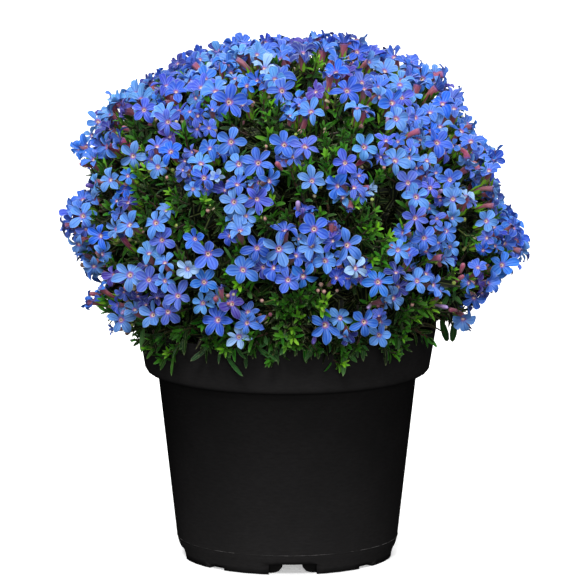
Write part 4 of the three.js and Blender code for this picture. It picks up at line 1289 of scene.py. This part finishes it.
def soil_material():
    m = Mat("compost", 0.85, 0.15)
    place = object_place(m)
    n = m.noise(place, 420.0, 4.0, 0.65)
    big_ = m.noise(place, 90.0, 2.0, 0.5)
    col = m.ramp(n, [(0.3, lin(20, 14, 10)), (0.52, lin(46, 32, 22)), (0.7, lin(82, 60, 42))])
    col = m.mix(m.smooth(big_, 0.4, 0.7, 0.0, 0.5), col, lin(26, 18, 13))
    m.colour(col)
    m.bump(n, 0.8, 0.001)
    return m.m


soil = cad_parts["potting_soil"]
soil.data.materials.clear()
soil.data.materials.append(soil_material())


def crown_material():
    m = Mat("woody_crown", 0.8, 0.15)
    place = object_place(m)
    s = m.new("ShaderNodeSeparateXYZ")
    m.put(place, s.inputs[0])
    n = m.noise(m.xyz(m.math("MULTIPLY", s.outputs[0], 500.0), m.math("MULTIPLY", s.outputs[1], 500.0), m.math("MULTIPLY", s.outputs[2], 150.0)), 1.0, 4.0, 0.6)
    m.colour(m.ramp(n, [(0.3, lin(40, 26, 18)), (0.5, lin(84, 58, 40)), (0.72, lin(120, 90, 62))]))
    m.bump(n, 0.7, 0.001)
    return m.m


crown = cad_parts["root_crown"]
crown.data.materials.clear()
crown.data.materials.append(crown_material())

# ------------------------------------------------------------------ floor and light
floor_mesh = bpy.data.meshes.new("floor")
floor_mesh.from_pydata([(-9, -9, 0), (9, -9, 0), (9, 9, 0), (-9, 9, 0)], [], [(0, 1, 2, 3)])
floor = bpy.data.objects.new("floor", floor_mesh)
floor.location.z = -0.0002
scene.collection.objects.link(floor)
fm = Mat("floor_white", 0.9, 0.0)
fm.colour((0.93, 0.93, 0.93, 1.0))
fm.b.inputs["Emission Color"].default_value = (1, 1, 1, 1)
fm.b.inputs["Emission Strength"].default_value = 0.42
floor_mesh.materials.append(fm.m)
floor.visible_diffuse = False
floor.visible_glossy = False


def sun(name, az, el, strength, size):
    data = bpy.data.lights.new(name, "SUN")
    data.energy = strength
    data.angle = math.radians(size)
    ob = bpy.data.objects.new(name, data)
    a, e = math.radians(az), math.radians(el)
    ob.rotation_mode = "QUATERNION"
    from mathutils import Vector
    d = Vector((-math.sin(a) * math.cos(e), math.cos(a) * math.cos(e), -math.sin(e)))
    ob.rotation_quaternion = d.to_track_quat("-Z", "Y")
    scene.collection.objects.link(ob)


sun("key", -8, 42, 2.28, 20)
sun("front", 3, 12, 1.4, 26)
sun("top", 0, 84, 1.3, 40)
sun("rear", 178, 36, 1.7, 40)
sun("left", -112, 34, 0.75, 44)
sun("right", 112, 34, 0.75, 44)

world = bpy.data.worlds.new("studio")
scene.world = world
world.use_nodes = True
wt = world.node_tree
wt.nodes.clear()
wo = wt.nodes.new("ShaderNodeOutputWorld")
dim, white = wt.nodes.new("ShaderNodeBackground"), wt.nodes.new("ShaderNodeBackground")
dim.inputs[0].default_value = (0.95, 0.97, 1.0, 1)
dim.inputs[1].default_value = 0.05
white.inputs[0].default_value = (1, 1, 1, 1)
white.inputs[1].default_value = 1.05
ray_kind, join = wt.nodes.new("ShaderNodeLightPath"), wt.nodes.new("ShaderNodeMixShader")
wt.links.new(ray_kind.outputs["Is Camera Ray"], join.inputs[0])
wt.links.new(dim.outputs[0], join.inputs[1])
wt.links.new(white.outputs[0], join.inputs[2])
wt.links.new(join.outputs[0], wo.inputs[0])

scene.view_settings.view_transform = "Standard"
scene.view_settings.look = "None"
scene.view_settings.exposure = 0
scene.view_settings.gamma = 1
